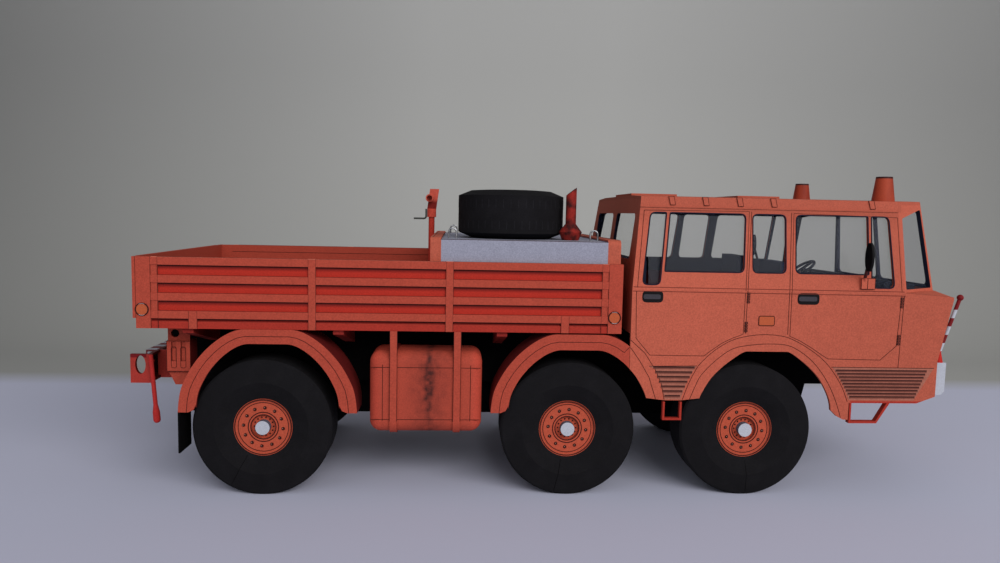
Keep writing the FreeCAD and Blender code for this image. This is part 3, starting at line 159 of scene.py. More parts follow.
# Tanks, their straps and the lamp boxes
TANK_Y, TANK_LOW_Z, TANK_TOP_Z = 38.5, 22.6, 39.2
TANK_SEAMS_Z = (38.4, 23.0)
TANK_SEAMS_X = ((31.2, 36.6), (38.9, 55.0), (57.3, 63.0))
TANK_ENDS_X = (34.6, 60.1)
STRAP_EDGES_X, STRAP_TOP_Z, STRAP_Y = (36.7, 38.8, 55.1, 57.2), 49.0, 39.0
LAMP_BOX_Y = 30.0
LAMP_BOX = ((-29.6, 34.9), (-29.6, 43.9), (-22.8, 43.9), (-22.8, 34.9), (-29.6, 34.9))
LAMP_SLOTS_X, LAMP_SLOT_Z = (-27.56, -24.84), (35.9, 42.2)
LAMP_SLOT_HALF, LAMP_SLOT_CORNER = 0.75, 0.6

# Cab front: hatch as two sides, foot and head, then lamps and mirror mounts
HATCH, HATCH_CORNER = (-30.5, 30.5, 44.0, 58.4), 2.2
HEADLAMPS_Y, HEADLAMP_X, HEADLAMP_Z = (-31.5, -23.0, 23.0, 31.5), 204.7, 36.25
HEADLAMP_RINGS, HEADLAMP_SIDES = (2.95, 2.2), 32
MOUNT, MOUNT_STEM_X, MOUNT_Y = (175.3, 179.5, 63.4, 66.6), 177.2, 39.26

# Carrier in front of the front axle
CARRIER_OUTLINE = ((151.8, 29.2), (151.8, 17.5), (166.5, 18.6), (171.5, 22.4), (173.0, 29.2))
CARRIER_HALF_WIDTH, CARRIER_SHEET, CARRIER_LAP = 12.0, 0.6, 0.2
CARRIER_WEBS_X, CARRIER_WEBS_Z, CARRIER_BEVEL = (155.0, 161.0, 167.0), (22.6, 29.0), 0.1
CARRIER_CARD = 0.15

# Wheels: rings as radius and width, a painted shadow ring at the rim's edge, bolts and nuts,
# glints, seams and tread
RIM_FACE_Y = 36.7
RIM_DISC_Y = 36.35
HUB_FLOOR_Y = 35.65
DISC_RINGS, DISC_RING_SINK, DISC_RING_HEIGHT = ((7.25, 0.22), (4.35, 0.3), (3.62, 0.3)), 0.01, 0.05
# Dark ink ring at the rim's outer edge, a painted shadow of the rim's edge
RIM_EDGE_SHADOW, RIM_EDGE_SHADOW_SINK, RIM_EDGE_SHADOW_HEIGHT = (8.12, 0.3), 0.02, 0.06
RING_STEPS = 48
NUT_TURN, NUT_OUT, NUT_HEIGHT, NUT_TOP_SHARE, NUT_SIDES = 85.0, 0.14, 0.3, 0.55, 6
GLINT_SHIFT, GLINT_RADIUS, GLINT_HEIGHT = (-0.12, 0.16, 0.14), 0.13, 0.05
BOLT_CIRCLE, BOLT_OUT, BOLT_RADIUS = 2.75, 0.1, 0.3
TYRE_WALL = ((9.4, 37.0), (10.9, 37.7), (13.5, 38.6), (16.5, 38.0), (19.3, 37.42))
SEAM_TURNS = (("rear", 118.0), ("middle", 101.0), ("front", 87.0))
SEAM_SINK, SEAM_RADIUS = 0.05, 0.1
TYRE_FACE_Y, TYRE_WIDTH, TREAD_EDGE = 38.6, 13.4, 1.7
TREAD_RADIUS, SPARE_TREAD_RADIUS, SPARE_EDGE = 19.98, 16.58, 2.4
# Place as a share of the tread's half width, and turn as a share of the pitch
TREAD_ROWS = ((0.62, 0.0), (-0.62, 0.5))
# Depth, width and length, the last as a share of the tread's half width
TREAD_MARK = (0.1, 0.18, 0.5)

# Ballast block's blue edge and the lips of its end plates
BLUE_EDGE_IN, REAR_LIP_OUT, FRONT_LIP_IN, LIP_END_IN = 0.25, 2.4, 0.2, 2.0

# Places where a printed tone or a painted shade changes
# The cab side darkens towards the front and under the eaves as painted shade
CAB_SHADE_X = (130.0, 192.0)
EAVES_SHADE_Z = (81.0, 84.0)
HEM_Z, HEM_END_X = (29.3, 29.8), (174.0, 174.6)
LEDGE_Z = (62.9, 63.0)
RIB_FLANK_IN, RIB_FACE_IN = (0.4, 0.32), (0.15, 0.08)
BED_SILL_Z = (51.0, 51.2)
STREAK_X, STREAK_CORE, STREAK_HALO = 48.1, (0.5, 2.6), (1.5, 8.0)
STREAK_WANDER = 0.8
TANK_MIDDLE_X, TANK_END = 47.1, (12.6, 14.5)
ROD_CONE_Z, ROD_TIP_Z, ROD_BANDS_Z, ROD_BAND = (44.5, 44.7), (59.8, 59.9), 44.6, 2.55
BEAM_STRIP_Z, BEAM_REAR_X, BEAM_BAND = (37.2, 37.3), (-38.9, -38.8), 3.0
MOUNT_TOP_Z, MIRROR_HEAD_Z = (66.65, 66.75), (68.9, 69.1)
HOIST_COLLAR_Z, HOIST_THROAT_Z, HOIST_HEAD_Z = (81.7, 81.9), (84.5, 84.7), (86.6, 87.8)
BEACON_RIM_Z = (96.55, 96.7)

# Colours of the small prints and of some painted shade, from 0 to 255
SHADES = {
    "tank_end": (188, 72, 54), "oil": (40, 24, 24), "rod_cone": (190, 30, 18),
    # Painted shade: the colours for the beam's rear faces and for the sides of the white sticks
    "beam_side": (168, 52, 42), "beam_rear_shade": (128, 26, 24), "film": (96, 104, 124),
    "mirror_arm": (70, 30, 30), "pipe": (148, 38, 30), "soot": (36, 14, 14),
    "stick_side_shade": (96, 98, 112), "hoist_post": (186, 58, 44), "hoist_collar": (196, 74, 57),
    "hoist_throat": (116, 26, 20), "hoist_head": (190, 82, 66), "wire_dull": (120, 121, 124),
    "wire_bright": (196, 197, 198), "cone_dark": (140, 50, 30), "cone_light": (168, 66, 40),
    "cone_rim": (58, 22, 20),
}

# Cards of one colour: the colour or its property, a share of it, mottle and grain, then
# roughness and specular where they aren't the usual ones
PLAIN_CARDS = (
    ("plate_card", "cab", 0.92, 0.04, 0.14),
    ("shade_card", (140, 38, 30), 1.0, 0.15, 0.16),
    ("crank_wire", (66, 70, 66), 1.0, 0.1, 0.1, 0.5),
    ("lever_card", (186, 46, 42), 1.0, 0.08, 0.14),
    ("lever_clip", "cab", 0.85, 0.04, 0.14),
    ("hem_card", "sill", 1.0, 0.06, 0.14),
    ("rim_card", "rim", 1.0, 0.04, 0.12),
    ("black_card", "black", 1.0, 0.2, 0.2, 0.9, 0.05),
    ("seat_card", (34, 40, 60), 1.0, 0.1, 0.14),
    ("dash_card", (26, 28, 38), 1.0, 0.1, 0.14),
    ("ink", "ink", 1.0, 0.15, 0.1, 0.9),
    ("soft_ink", (122, 54, 42), 1.0, 0.15, 0.1, 0.9),
    ("pale_edge", (212, 128, 104), 1.0, 0.2, 0.1, 0.9),
    ("navy", "navy", 1.0, 0.15, 0.1),
    ("field", (164, 100, 82), 1.0, 0.08, 0.12),
    ("slot_dark", (66, 32, 28), 1.0, 0.1, 0.1, 0.9),
    ("slot_light", (118, 66, 54), 1.0, 0.1, 0.1, 0.9),
    ("recess", (20, 17, 19), 1.0, 0.1, 0.1, 0.9),
    ("grip", (60, 57, 63), 1.0, 0.12, 0.1, 0.7),
    ("lamp_orange", (182, 86, 50), 1.0, 0.06, 0.08, 0.6),
    ("lamp_mark", (196, 180, 184), 1.0, 0.06, 0.08, 0.5),
    ("blue_edge", (52, 58, 92), 1.0, 0.06, 0.08),
    ("lamp_clear", (196, 204, 214), 1.0, 0.08, 0.06, 0.3),
    ("nut_dark", (58, 26, 22), 1.0, 0.1, 0.1, 0.35),
    ("nut_speck", (196, 150, 132), 1.0, 0.1, 0.1, 0.4),
    ("tread_mark", (36, 35, 38), 1.0, 0.2, 0.1, 0.9, 0.05),
)

# Solids by the card they are made of; a tyre or rim of a wheel has tyre_card or rim_card
SOLIDS_OF_CARD = {
    "cab_card": "cab_side_right cab_side_left", "front_card": "cab_front",
    "rear_card": "cab_rear", "roof_card": "cab_roof roof_hatches", "hem_card": "steps",
    "bed_card": "side_board_right side_board_left tailboard headboard bed_floor",
    "plate_card": "block_end_plates", "pipe_card": "slant_cut_pipe",
    "post_card": "hoist_post hoist_head", "tank_card": "fuel_tanks",
    "folded_card": "mudguard_rear_right mudguard_rear_left mudguard_middle_right "
                   "mudguard_middle_left lamp_boxes",
    "strap_card": "tank_hangers", "beam_card": "rear_beam", "lever_card": "drop_levers",
    "shade_card": "cross_bearers", "black_card": "backbone half_axles mudflaps cab_floor",
    "dash_card": "dashboard", "mirror_card": "mirrors", "ballast_card": "ballast_block",
    "white_card": "front_bumper", "lamp_clear": "headlamps", "stick_card": "axle_sticks",
    "rod_bands": "marker_rods", "seat_card": "seats", "wire": "lifting_eyes",
    "crank_wire": "hoist_crank", "beacon_card": "beacons", "clear_film": "glazing",
    "rim_card": "spare_rim", "tyre_card": "spare_tyre",
}


def srgb(red, green, blue):
    """Linear colour from the 0 to 255 values a screen shows."""
    linear = []
    for value in (red, green, blue):
        share = value / 255
        linear.append(share / 12.92 if share <= 0.04045 else ((share + 0.055) / 1.055) ** 2.4)
    return tuple(linear)


def colour_property(name, red, green, blue, description):
    return FloatVectorProperty(name=name, description=description, subtype="COLOR", size=3,
                               min=0.0, max=1.0, default=srgb(red, green, blue))


def length_property(name, millimetres, description):
    return FloatProperty(name=name, description=description, subtype="DISTANCE", unit="LENGTH",
                         min=0.0, default=millimetres * MM, precision=5)


def count_property(name, default, description):
    return IntProperty(name=name, description=description, min=3, default=default)


class CardTruckColours(bpy.types.PropertyGroup):
    """Colours of the printed card and the other finishes"""
    cab: colour_property("Cab", 188, 92, 70, "Salmon orange of the cab's card")
    bed: colour_property("Bed", 174, 70, 52, "Redder orange of the load bed's ribs")
    groove: colour_property("Groove", 178, 44, 30, "Orange red between the bed's ribs")
    # Darkened, deep red also paints the shadow under the bed's ribs
    deep: colour_property("Deep red", 96, 18, 16, "Dark red of folds, cut edges and hollows")
    sill: colour_property("Sill", 166, 48, 35, "Bright red of the lower edges")
    rim: colour_property("Rims", 184, 80, 56, "Orange of the wheel rims")
    tyre: colour_property("Tyres", 24, 23, 25, "Matte black of the tyre card")
    black: colour_property("Chassis", 10, 9, 10, "Black of the chassis card")
    ink: colour_property("Ink", 62, 22, 18, "Dark brown of the printed outlines")
    navy: colour_property("Window edges", 20, 21, 40, "Dark navy of the cut window edges")
    ballast: colour_property("Ballast", 150, 151, 166, "Speckled lavender grey of the block")
    white: colour_property("White card", 184, 187, 196, "White of the bumper and the sticks")
    stripe: colour_property("Stripes", 120, 18, 22, "Dark red of the warning stripes")
    floor: colour_property("Floor", 194, 196, 215, "Pale table under the model")
    wall: colour_property("Backdrop", 182, 182, 178, "Pale warm grey behind the model")


class CardTruckSizes(bpy.types.PropertyGroup):
    """Sizes of the printed and glued-on details"""
    pen: length_property("Pen line", 0.09, "Half width of a printed outline")
    edging: length_property("Window edging", 0.2, "Half width of the dark edge round a window")
    shadow: length_property("Shadow line", 0.2, "Half width of the dark line under a bed rib")
    nut_radius: length_property("Nut radius", 0.58, "Radius of a wheel nut")
    nut_circle: length_property("Nut circle", 5.7, "Radius of the circle of wheel nuts")
    nut_count: count_property("Wheel nuts", 12, "Nuts on one rim")
    bolt_count: count_property("Hub bolts", 14, "Small bolts round one hub")
    tread_count: count_property("Tread marks", 46, "Printed tread marks in one row of a tyre")


def colours():
    return bpy.context.scene.card_truck_colours


def sizes():
    return bpy.context.scene.card_truck_sizes


def centre_of(node):
    low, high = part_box(node)
    return (low + high) / 2


REAR_AXLE_X = centre_of("tyre_rear_right").x


# Points and paths

def spot(x, y, z):
    """Point in the frame from millimetres measured at the rear axle and the floor."""
    return Vector((REAR_AXLE_X + x * MM, y * MM, z * MM))


def wall_y(z):
    """Half width of the cab's side at a height."""
    return BODY_HALF_WIDTH - max(0.0, z - SHOULDER_Z) * SIDE_LEAN


def on_cab(side, path):
    """Path of (x, z) points laid on the cab's side, bent where the side starts to lean."""
    laid = []
    for index, (x, z) in enumerate(path):
        if index:
            last_x, last_z = path[index - 1]
            if (last_z - SHOULDER_Z) * (z - SHOULDER_Z) < 0:
                share = (SHOULDER_Z - last_z) / (z - last_z)
                bend_x = last_x + (x - last_x) * share
                laid.append(spot(bend_x, side * BODY_HALF_WIDTH, SHOULDER_Z))
        laid.append(spot(x, side * wall_y(z), z))
    return laid


def on_plane(side, path, y):
    """Path of (x, z) points laid on an upright plane at one side."""
    return [spot(x, side * y, z) for x, z in path]


def level_line(side, y, span, z):
    """Straight path along the truck at one height."""
    return on_plane(side, [(x, z) for x in span], y)


def upright_line(side, y, x, low, high):
    """Straight upright path at one place along the truck."""
    return on_plane(side, ((x, low), (x, high)), y)


def oblong(rear, front, low, high):
    """Corners of an upright oblong."""
    return ((rear, low), (front, low), (front, high), (rear, high))


def circle(x, z, radius, count):
    """Points round a centre."""
    return [(x + radius * math.cos(step * math.tau / count),
             z + radius * math.sin(step * math.tau / count)) for step in range(count)]


def arch_path(centre, foot_z, half, top_z):
    """Outline of a wheel arch from its rear foot over the top to its front foot."""
    rise = top_z - foot_z
    rear = [(centre - half * reach, foot_z + rise * height) for reach, height in ARCH_SHARES]
    return rear + [(2 * centre - x, z) for x, z in reversed(rear)]


def smooth(points):
    """Path of a smooth curve through measured points."""
    path = []
    last = len(points) - 1
    for index in range(last):
        start, end = Vector(points[index]), Vector(points[index + 1])
        before, after = Vector(points[max(0, index - 1)]), Vector(points[min(last, index + 2)])
        for step in range(BEND_STEPS):
            share = step / BEND_STEPS
            bend = (2 * start + (end - before) * share
                    + (2 * before - 5 * start + 4 * end - after) * share ** 2
                    + (3 * start - before - 3 * end + after) * share ** 3)
            path.append(tuple(bend / 2))
    path.append(points[last])
    return path


def rounded(corners, radius, shares=(1, 1, 1, 1)):
    """Closed (x, z) outline with each corner rounded by its share of the radius."""
    outline = []
    count = len(corners)
    for index in range(count):
        before, corner, after = (Vector(corners[index - 1]), Vector(corners[index]),
                                 Vector(corners[(index + 1) % count]))
        bend = radius * shares[index]
        start = corner + (before - corner).normalized() * bend
        end = corner + (after - corner).normalized() * bend
        for step in range(BEND_STEPS + 1):
            share = step / BEND_STEPS
            outline.append(tuple((1 - share) ** 2 * start + 2 * share * (1 - share) * corner
                                 + share ** 2 * end))
    return outline


def window_outlines():
    """Rounded outlines of one side's five windows."""
    outlines = []
    for index, sill in enumerate(WINDOW_SILL_Z):
        rear, front = 2 * index, 2 * index + 1
        corners = ((WINDOW_TOP_X[rear], WINDOW_TOP_Z), (WINDOW_TOP_X[front], WINDOW_TOP_Z),
                   (WINDOW_SILL_X[front], sill), (WINDOW_SILL_X[rear], sill))
        outlines.append(rounded(corners, WINDOW_CORNER, WINDOW_ROUND_SHARES[index]))
    return outlines


# Node materials

def tint(colour, share):
    """The same colour made darker or lighter."""
    return tuple(value * share for value in colour)


def shade(name):
    return srgb(*SHADES[name])


class Finish:
    """Builds one procedural material out of linked shader nodes."""

    def __init__(self, name):
        self.material = bpy.data.materials.new(name)
        self.material.use_nodes = True
        self.tree = self.material.node_tree
        self.shader = self.tree.nodes["Principled BSDF"]
        self.surface()
        coordinates = self.tree.nodes.new("ShaderNodeTexCoord").outputs
        self.place = coordinates["Object"]
        self.axes = self.node("ShaderNodeSeparateXYZ", {0: self.place}).outputs
        self.facing = self.node("ShaderNodeSeparateXYZ", {0: coordinates["Normal"]}).outputs

    def surface(self, roughness=0.8, specular=0.2):
        """Sets how dull the surface is."""
        self.shader.inputs["Roughness"].default_value = roughness
        self.shader.inputs["Specular IOR Level"].default_value = specular

    def put(self, socket, value):
        """Links an input to another node or sets it, with full alpha for a colour."""
        if isinstance(value, bpy.types.NodeSocket):
            self.tree.links.new(value, socket)
        else:
            socket.default_value = (*value, 1.0) if socket.type == "RGBA" else value

    def node(self, kind, values, **settings):
        """One node with its inputs set or linked."""
        made = self.tree.nodes.new(kind)
        for key, value in settings.items():
            setattr(made, key, value)
        for key, value in values.items():
            self.put(made.inputs[key], value)
        return made

    def maths(self, operation, first, second=0.0):
        """Result of one Math node."""
        return self.node("ShaderNodeMath", {0: first, 1: second}, operation=operation).outputs[0]

    def times(self, first, second):
        return self.maths("MULTIPLY", first, second)

    def ramp(self, value, low, high, floor=0.0, ceiling=1.0):
        """A value stretched from its own range to another, kept inside it."""
        return self.node("ShaderNodeMapRange", {"Value": value, "From Min": low, "From Max": high,
                                                "To Min": floor, "To Max": ceiling}).outputs[0]

    def rise(self, axis, span, floor=0.0, ceiling=1.0):
        """Ramp between two places in millimetres along one of the truck's axes."""
        start = REAR_AXLE_X if axis == "X" else 0.0
        low, high = (start + place * MM for place in span)
        return self.ramp(self.axes[axis], low, high, floor, ceiling)

    def fall(self, axis, span):
        """One before two places along an axis, zero after them."""
        return self.rise(axis, span, 1.0, 0.0)

    def away(self, x):
        """Distance along the truck from a place."""
        return self.maths("ABSOLUTE", self.maths("SUBTRACT", self.axes["X"], spot(x, 0, 0).x))

    def outward(self, low=0.2, high=0.5):
        """One on faces that look away from the truck's middle line, zero on the others."""
        side = self.maths("SIGN", self.axes["Y"])
        return self.ramp(self.times(side, self.facing["Y"]), low, high)

    def rearward(self, low, high):
        """One on faces that look back, zero on the others."""
        return self.ramp(self.facing["X"], low, high, 1.0, 0.0)

    def noise(self, scale, detail, stretch=None):
        """Noise on the object's own coordinates, stretched along its axes if asked."""
        place = self.place
        if stretch:
            place = self.node("ShaderNodeMapping", {"Vector": place, "Scale": stretch}).outputs[0]
        return self.node("ShaderNodeTexNoise", {"Vector": place, "Scale": scale,
                                                "Detail": detail}).outputs["Fac"]

    def blotches(self, scale, detail, low, high, floor=0.0, ceiling=1.0):
        """Noise with a part of its range stretched to another range."""
        return self.ramp(self.noise(scale, detail), low, high, floor, ceiling)

    def mix(self, factor, first, second, blend="MIX"):
        """Colour mixed from two others."""
        return self.node("ShaderNodeMix", {0: factor, 6: first, 7: second}, data_type="RGBA",
                         blend_type=blend).outputs[2]

    def darken(self, colour, share):
        """Colour multiplied by a grey value."""
        grey = self.node("ShaderNodeCombineColor", {0: share, 1: share, 2: share}).outputs[0]
        return self.mix(1.0, colour, grey, "MULTIPLY")

    def colour(self, value):
        """Sets the surface's colour."""
        self.put(self.shader.inputs["Base Color"], value)

    def bump(self, height, distance, strength):
        """Raises the surface by a height pattern."""
        made = self.node("ShaderNodeBump", {"Height": height, "Distance": distance,
                                            "Strength": strength})
        self.tree.links.new(made.outputs[0], self.shader.inputs["Normal"])

    def paper(self, base, mottle=0.04, grain=0.14):
        """Printed card: mottled ink, fine grain and a fibrous surface."""
        cloud = self.blotches(260.0, 4.0, 0.25, 0.75, 1.0 - mottle, 1.0 + mottle)
        speck = self.blotches(2600.0, 2.0, 0.3, 0.7, 1.0 - grain, 1.0 + grain)
        self.colour(self.darken(base, self.times(cloud, speck)))
        self.bump(self.noise(3400.0, 3.0), 0.06 * MM, 0.4)


def cab_card(finish, paint):
    """Salmon card outside, navy at the cut window edges, red at the cut lower edges; painted shade
    darkens it towards the front, under the eaves and on faces that look back.
    """
    shaded_cab = tint(paint.cab, 0.7)
    shoulder = finish.rise("Z", (SHOULDER_Z - 0.1, SHOULDER_Z + 0.3))
    hidden = finish.mix(shoulder, paint.deep, paint.navy)
    # Painted shade: the side darkens towards the front and under the eaves, and faces that look
    # back are darker
    tone = finish.mix(finish.rise("X", CAB_SHADE_X), paint.cab, tint(paint.cab, 0.87))
    tone = finish.mix(finish.rise("Z", EAVES_SHADE_Z, 0.0, 0.5), tone, shaded_cab)
    above_hem = finish.maths("MAXIMUM", finish.rise("Z", HEM_Z), finish.fall("X", HEM_END_X))
    face = finish.mix(above_hem, paint.sill, tone)
    covered = finish.mix(finish.rearward(-0.7, -0.4), hidden, shaded_cab)
    finish.paper(finish.mix(finish.outward(), covered, face))


def front_card(finish, paint):
    """Cab front: salmon on the outer faces and the ledge, navy inside and at the cut edges."""
    forward = finish.ramp(finish.facing["X"], 0.15, 0.25)
    outside = finish.times(forward, finish.outward(-0.4, -0.3))
    shown = finish.maths("MAXIMUM", outside, finish.fall("Z", LEDGE_Z))
    finish.paper(finish.mix(shown, paint.navy, paint.cab))


def rear_card(finish, paint):
    """Cab rear: salmon darkened by painted shade outside, navy inside and at the cut edges."""
    finish.paper(finish.mix(finish.rearward(-0.5, -0.3), paint.navy, tint(paint.cab, 0.7)))


def roof_card(finish, paint):
    """Cab roof: salmon a little darker than the cab on the outer faces, darker still as painted
    shade where they look back, navy underneath.
    """
    upward = finish.ramp(finish.facing["Z"], -0.3, -0.2)
    outside = finish.times(upward, finish.outward(-0.6, -0.5))
    rear = finish.rearward(-0.7, -0.5)
    # Faces that look back get a darker copy of the cab colour as painted shade
    face = finish.mix(rear, tint(paint.cab, 0.86), tint(paint.cab, 0.6))
    finish.paper(finish.mix(outside, paint.navy, face))


def bed_card(finish, paint):
    """Bed card: orange ribs, red hollows with a painted shadow under each rib, a bright red sill,
    and painted shade on faces turned inward.
    """
    reach = finish.maths("ABSOLUTE", finish.axes["Y"])
    proud, full = (finish.ramp(reach, (BODY_HALF_WIDTH - start) * MM, (BODY_HALF_WIDTH - end) * MM)
                   for start, end in (RIB_FLANK_IN, RIB_FACE_IN))
    height = finish.maths("SUBTRACT", finish.axes["Z"], RIB_LOW_Z * MM)
    share = finish.maths("FRACT", finish.maths("DIVIDE", height, RIB_PITCH * MM))
    # Painted shadow: the top of each hollow, just under the next rib, turns dark red
    hollow = finish.mix(finish.ramp(share, 0.7, 0.93), paint.groove, tint(paint.deep, 0.7))
    outside = finish.mix(proud, hollow, paint.bed)
    sill = finish.mix(full, paint.sill, paint.bed)
    outside = finish.mix(finish.fall("Z", BED_SILL_Z), outside, sill)
    # Faces turned inward get a darker copy of the bed colour as painted shade
    finish.paper(finish.mix(finish.outward(), tint(paint.bed, 0.85), outside))


def folded_card(finish, paint, hidden_share=1.0):
    """Mudguards and fittings: orange on the outer face, dark red on the folded-over sheet."""
    hidden = tint(paint.deep, hidden_share)
    finish.paper(finish.mix(finish.outward(), hidden, paint.bed))


def strap_card(finish, paint):
    """Tank hangers: folded card with a brighter hidden side."""
    folded_card(finish, paint, 1.4)


def tank_card(finish, paint):
    """Tank card with a soft dark streak of spilt oil down its face."""
    wander = finish.blotches(90.0, 2.0, 0.3, 0.7, -STREAK_WANDER * MM, STREAK_WANDER * MM)
    across = finish.maths("ADD", finish.away(STREAK_X), wander)
    core = finish.ramp(across, STREAK_CORE[0] * MM, STREAK_CORE[1] * MM, 0.9, 0.0)
    halo = finish.ramp(across, STREAK_HALO[0] * MM, STREAK_HALO[1] * MM, 0.5, 0.0)
    soot = finish.blotches(500.0, 6.0, 0.35, 0.65, 0.45, 1.0)
    stain = finish.times(finish.maths("MAXIMUM", core, halo), soot)
    ends = finish.ramp(finish.away(TANK_MIDDLE_X), TANK_END[0] * MM, TANK_END[1] * MM)
    base = finish.mix(ends, paint.bed, shade("tank_end"))
    finish.paper(finish.mix(stain, base, shade("oil")))


def ballast_card(finish, paint):
    """Grey card printed with fine concrete speckle."""
    finish.surface(0.85)
    speck = finish.blotches(4200.0, 3.0, 0.35, 0.65)
    light = finish.mix(speck, tint(paint.ballast, 0.86), tint(paint.ballast, 1.1))
    dots = finish.blotches(2600.0, 1.0, 0.74, 0.8, 0.0, 0.6)
    finish.paper(finish.mix(dots, light, tint(paint.ballast, 0.45)), 0.03, 0.05)


def tyre_card(finish, paint):
    """Matte black card, scuffed a little paler in places."""
    finish.surface(0.9, 0.08)
    scuff = finish.blotches(180.0, 4.0, 0.5, 0.8, 0.0, 0.3)
    finish.paper(finish.mix(scuff, paint.tyre, tint(paint.tyre, 1.8)), 0.1, 0.14)


def stripes(finish, paint, along, pitch):
    """Colour of white card with dark red stripes, from a distance along them."""
    finish.surface(0.6)
    turn = finish.maths("FRACT", finish.maths("DIVIDE", along, 2 * pitch * MM))
    return finish.mix(finish.ramp(turn, 0.49, 0.51), paint.white, paint.stripe)


def rod_bands(finish, paint):
    """Marker rods: red cone at the foot, then white and red bands."""
    along = finish.maths("SUBTRACT", finish.axes["Z"], ROD_BANDS_Z * MM)
    bands = stripes(finish, paint, along, ROD_BAND)
    card = finish.mix(finish.rise("Z", ROD_CONE_Z), shade("rod_cone"), bands)
    finish.paper(finish.mix(finish.rise("Z", ROD_TIP_Z), card, paint.stripe), 0.08, 0.08)


def beam_card(finish, paint):
    """Rear beam: red card with a slanting red and white strip along its top edge, darker red as
    painted shade on the faces that look back.
    """
    along = finish.maths("ADD", finish.axes["Y"], finish.axes["Z"])
    bands = stripes(finish, paint, along, BEAM_BAND)
    strip = finish.times(finish.rise("Z", BEAM_STRIP_Z), finish.fall("X", BEAM_REAR_X))
    plain = finish.mix(finish.outward(), paint.deep, shade("beam_side"))
    # Faces that look back get a darker red as painted shade
    body = finish.mix(finish.rearward(-0.4, -0.2), plain, shade("beam_rear_shade"))
    finish.paper(finish.mix(strip, body, bands))


def clear_film(finish, paint):
    """Clear film of the windows."""
    finish.surface(0.12, 0.4)
    finish.colour(shade("film"))
    finish.shader.inputs["Alpha"].default_value = 0.06
    finish.bump(finish.noise(90.0, 1.0), 0.1 * MM, 0.3)


def mirror_card(finish, paint):
    """Mirrors: orange mount on the cab, dark red arm and black head."""
    finish.surface(0.6, 0.1)
    dark = finish.mix(finish.rise("Z", MIRROR_HEAD_Z), shade("mirror_arm"), paint.black)
    finish.paper(finish.mix(finish.fall("Z", MOUNT_TOP_Z), dark, paint.cab))


def pipe_card(finish, paint):
    """Slant-cut pipe: deep red, blackened with soot in blotches."""
    soot = finish.blotches(330.0, 4.0, 0.38, 0.6, 0.05, 0.9)
    finish.paper(finish.mix(soot, shade("pipe"), shade("soot")))


def stick_card(finish, paint):
    """Sticks: white ends, with painted bluish grey shade round the side."""
    finish.surface(0.6)
    end = finish.ramp(finish.maths("ABSOLUTE", finish.facing["Y"]), 0.4, 0.7)
    # The side of the white stick is painted a bluish grey shade
    finish.paper(finish.mix(end, shade("stick_side_shade"), paint.white), 0.03, 0.05)


def post_card(finish, paint):
    """Hoist: orange post and collar, dark throat under the head, paler head."""
    card = shade("hoist_post")
    for span, name in ((HOIST_COLLAR_Z, "hoist_collar"), (HOIST_THROAT_Z, "hoist_throat"),
                       (HOIST_HEAD_Z, "hoist_head")):
        card = finish.mix(finish.rise("Z", span), card, shade(name))
    finish.paper(card, 0.12, 0.14)


def wire(finish, paint):
    """Dull steel wire."""
    finish.surface(0.35, 0.5)
    finish.shader.inputs["Metallic"].default_value = 0.9
    worn = finish.blotches(900.0, 2.0, 0.35, 0.65)
    finish.colour(finish.mix(worn, shade("wire_dull"), shade("wire_bright")))


def white_card(finish, paint):
    """White card, faintly blue and smudged."""
    finish.surface(0.7)
    smudge = finish.blotches(160.0, 4.0, 0.45, 0.7, 0.0, 0.35)
    finish.paper(finish.mix(smudge, paint.white, tint(paint.white, 0.78)), 0.05, 0.06)


def beacon_card(finish, paint):
    """Beacon cones with faint printed ribs and a dark foot line."""
    finish.surface(0.6)
    streaks = finish.ramp(finish.noise(420.0, 1.0, (1.0, 1.0, 0.02)), 0.4, 0.6)
    ribs = finish.mix(streaks, shade("cone_dark"), shade("cone_light"))
    finish.paper(finish.mix(finish.rise("Z", BEACON_RIM_Z), ribs, shade("cone_rim")), 0.04, 0.08)


PATTERNED_CARDS = (
    cab_card, front_card, rear_card, roof_card, bed_card, folded_card, strap_card, tank_card,
    ballast_card, tyre_card, rod_bands, beam_card, clear_film, mirror_card, pipe_card,
    stick_card, post_card, wire, white_card, beacon_card,
)
FINISHES = {}


def make_finishes():
    """Every material of the model, by the name the pieces use."""
    paint = colours()
    for make in PATTERNED_CARDS:
        finish = Finish(make.__name__)
        make(finish, paint)
        FINISHES[make.__name__] = finish.material
    for name, colour, share, mottle, grain, *surface in PLAIN_CARDS:
        finish = Finish(name)
        finish.surface(*surface)
        base = srgb(*colour) if isinstance(colour, tuple) else getattr(paint, colour)
        finish.paper(tint(base, share), mottle, grain)
        FINISHES[name] = finish.material


# Making pieces

def new_object(name, data):
    """Adds an object to the scene."""
    made = bpy.data.objects.new(name, data)
    bpy.context.scene.collection.objects.link(made)
    return made


def new_piece(name, mesh, finish, body="truck"):
    """Links a finished mesh as a piece that rides on a body."""
    piece = new_object(name, mesh)
    mesh.materials.clear()
    mesh.materials.append(FINISHES[finish])
    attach(piece, body)
    return piece


def from_bmesh(name, work, finish, body="truck"):
    """Turns a bmesh into a piece."""
    bmesh.ops.recalc_face_normals(work, faces=work.faces)
    mesh = bpy.data.meshes.new(name)
    work.to_mesh(mesh)
    work.free()
    return new_piece(name, mesh, finish, body)


def pen(weight=1.0):
    """Half width of a printed line of some weight."""
    return weight * sizes().pen


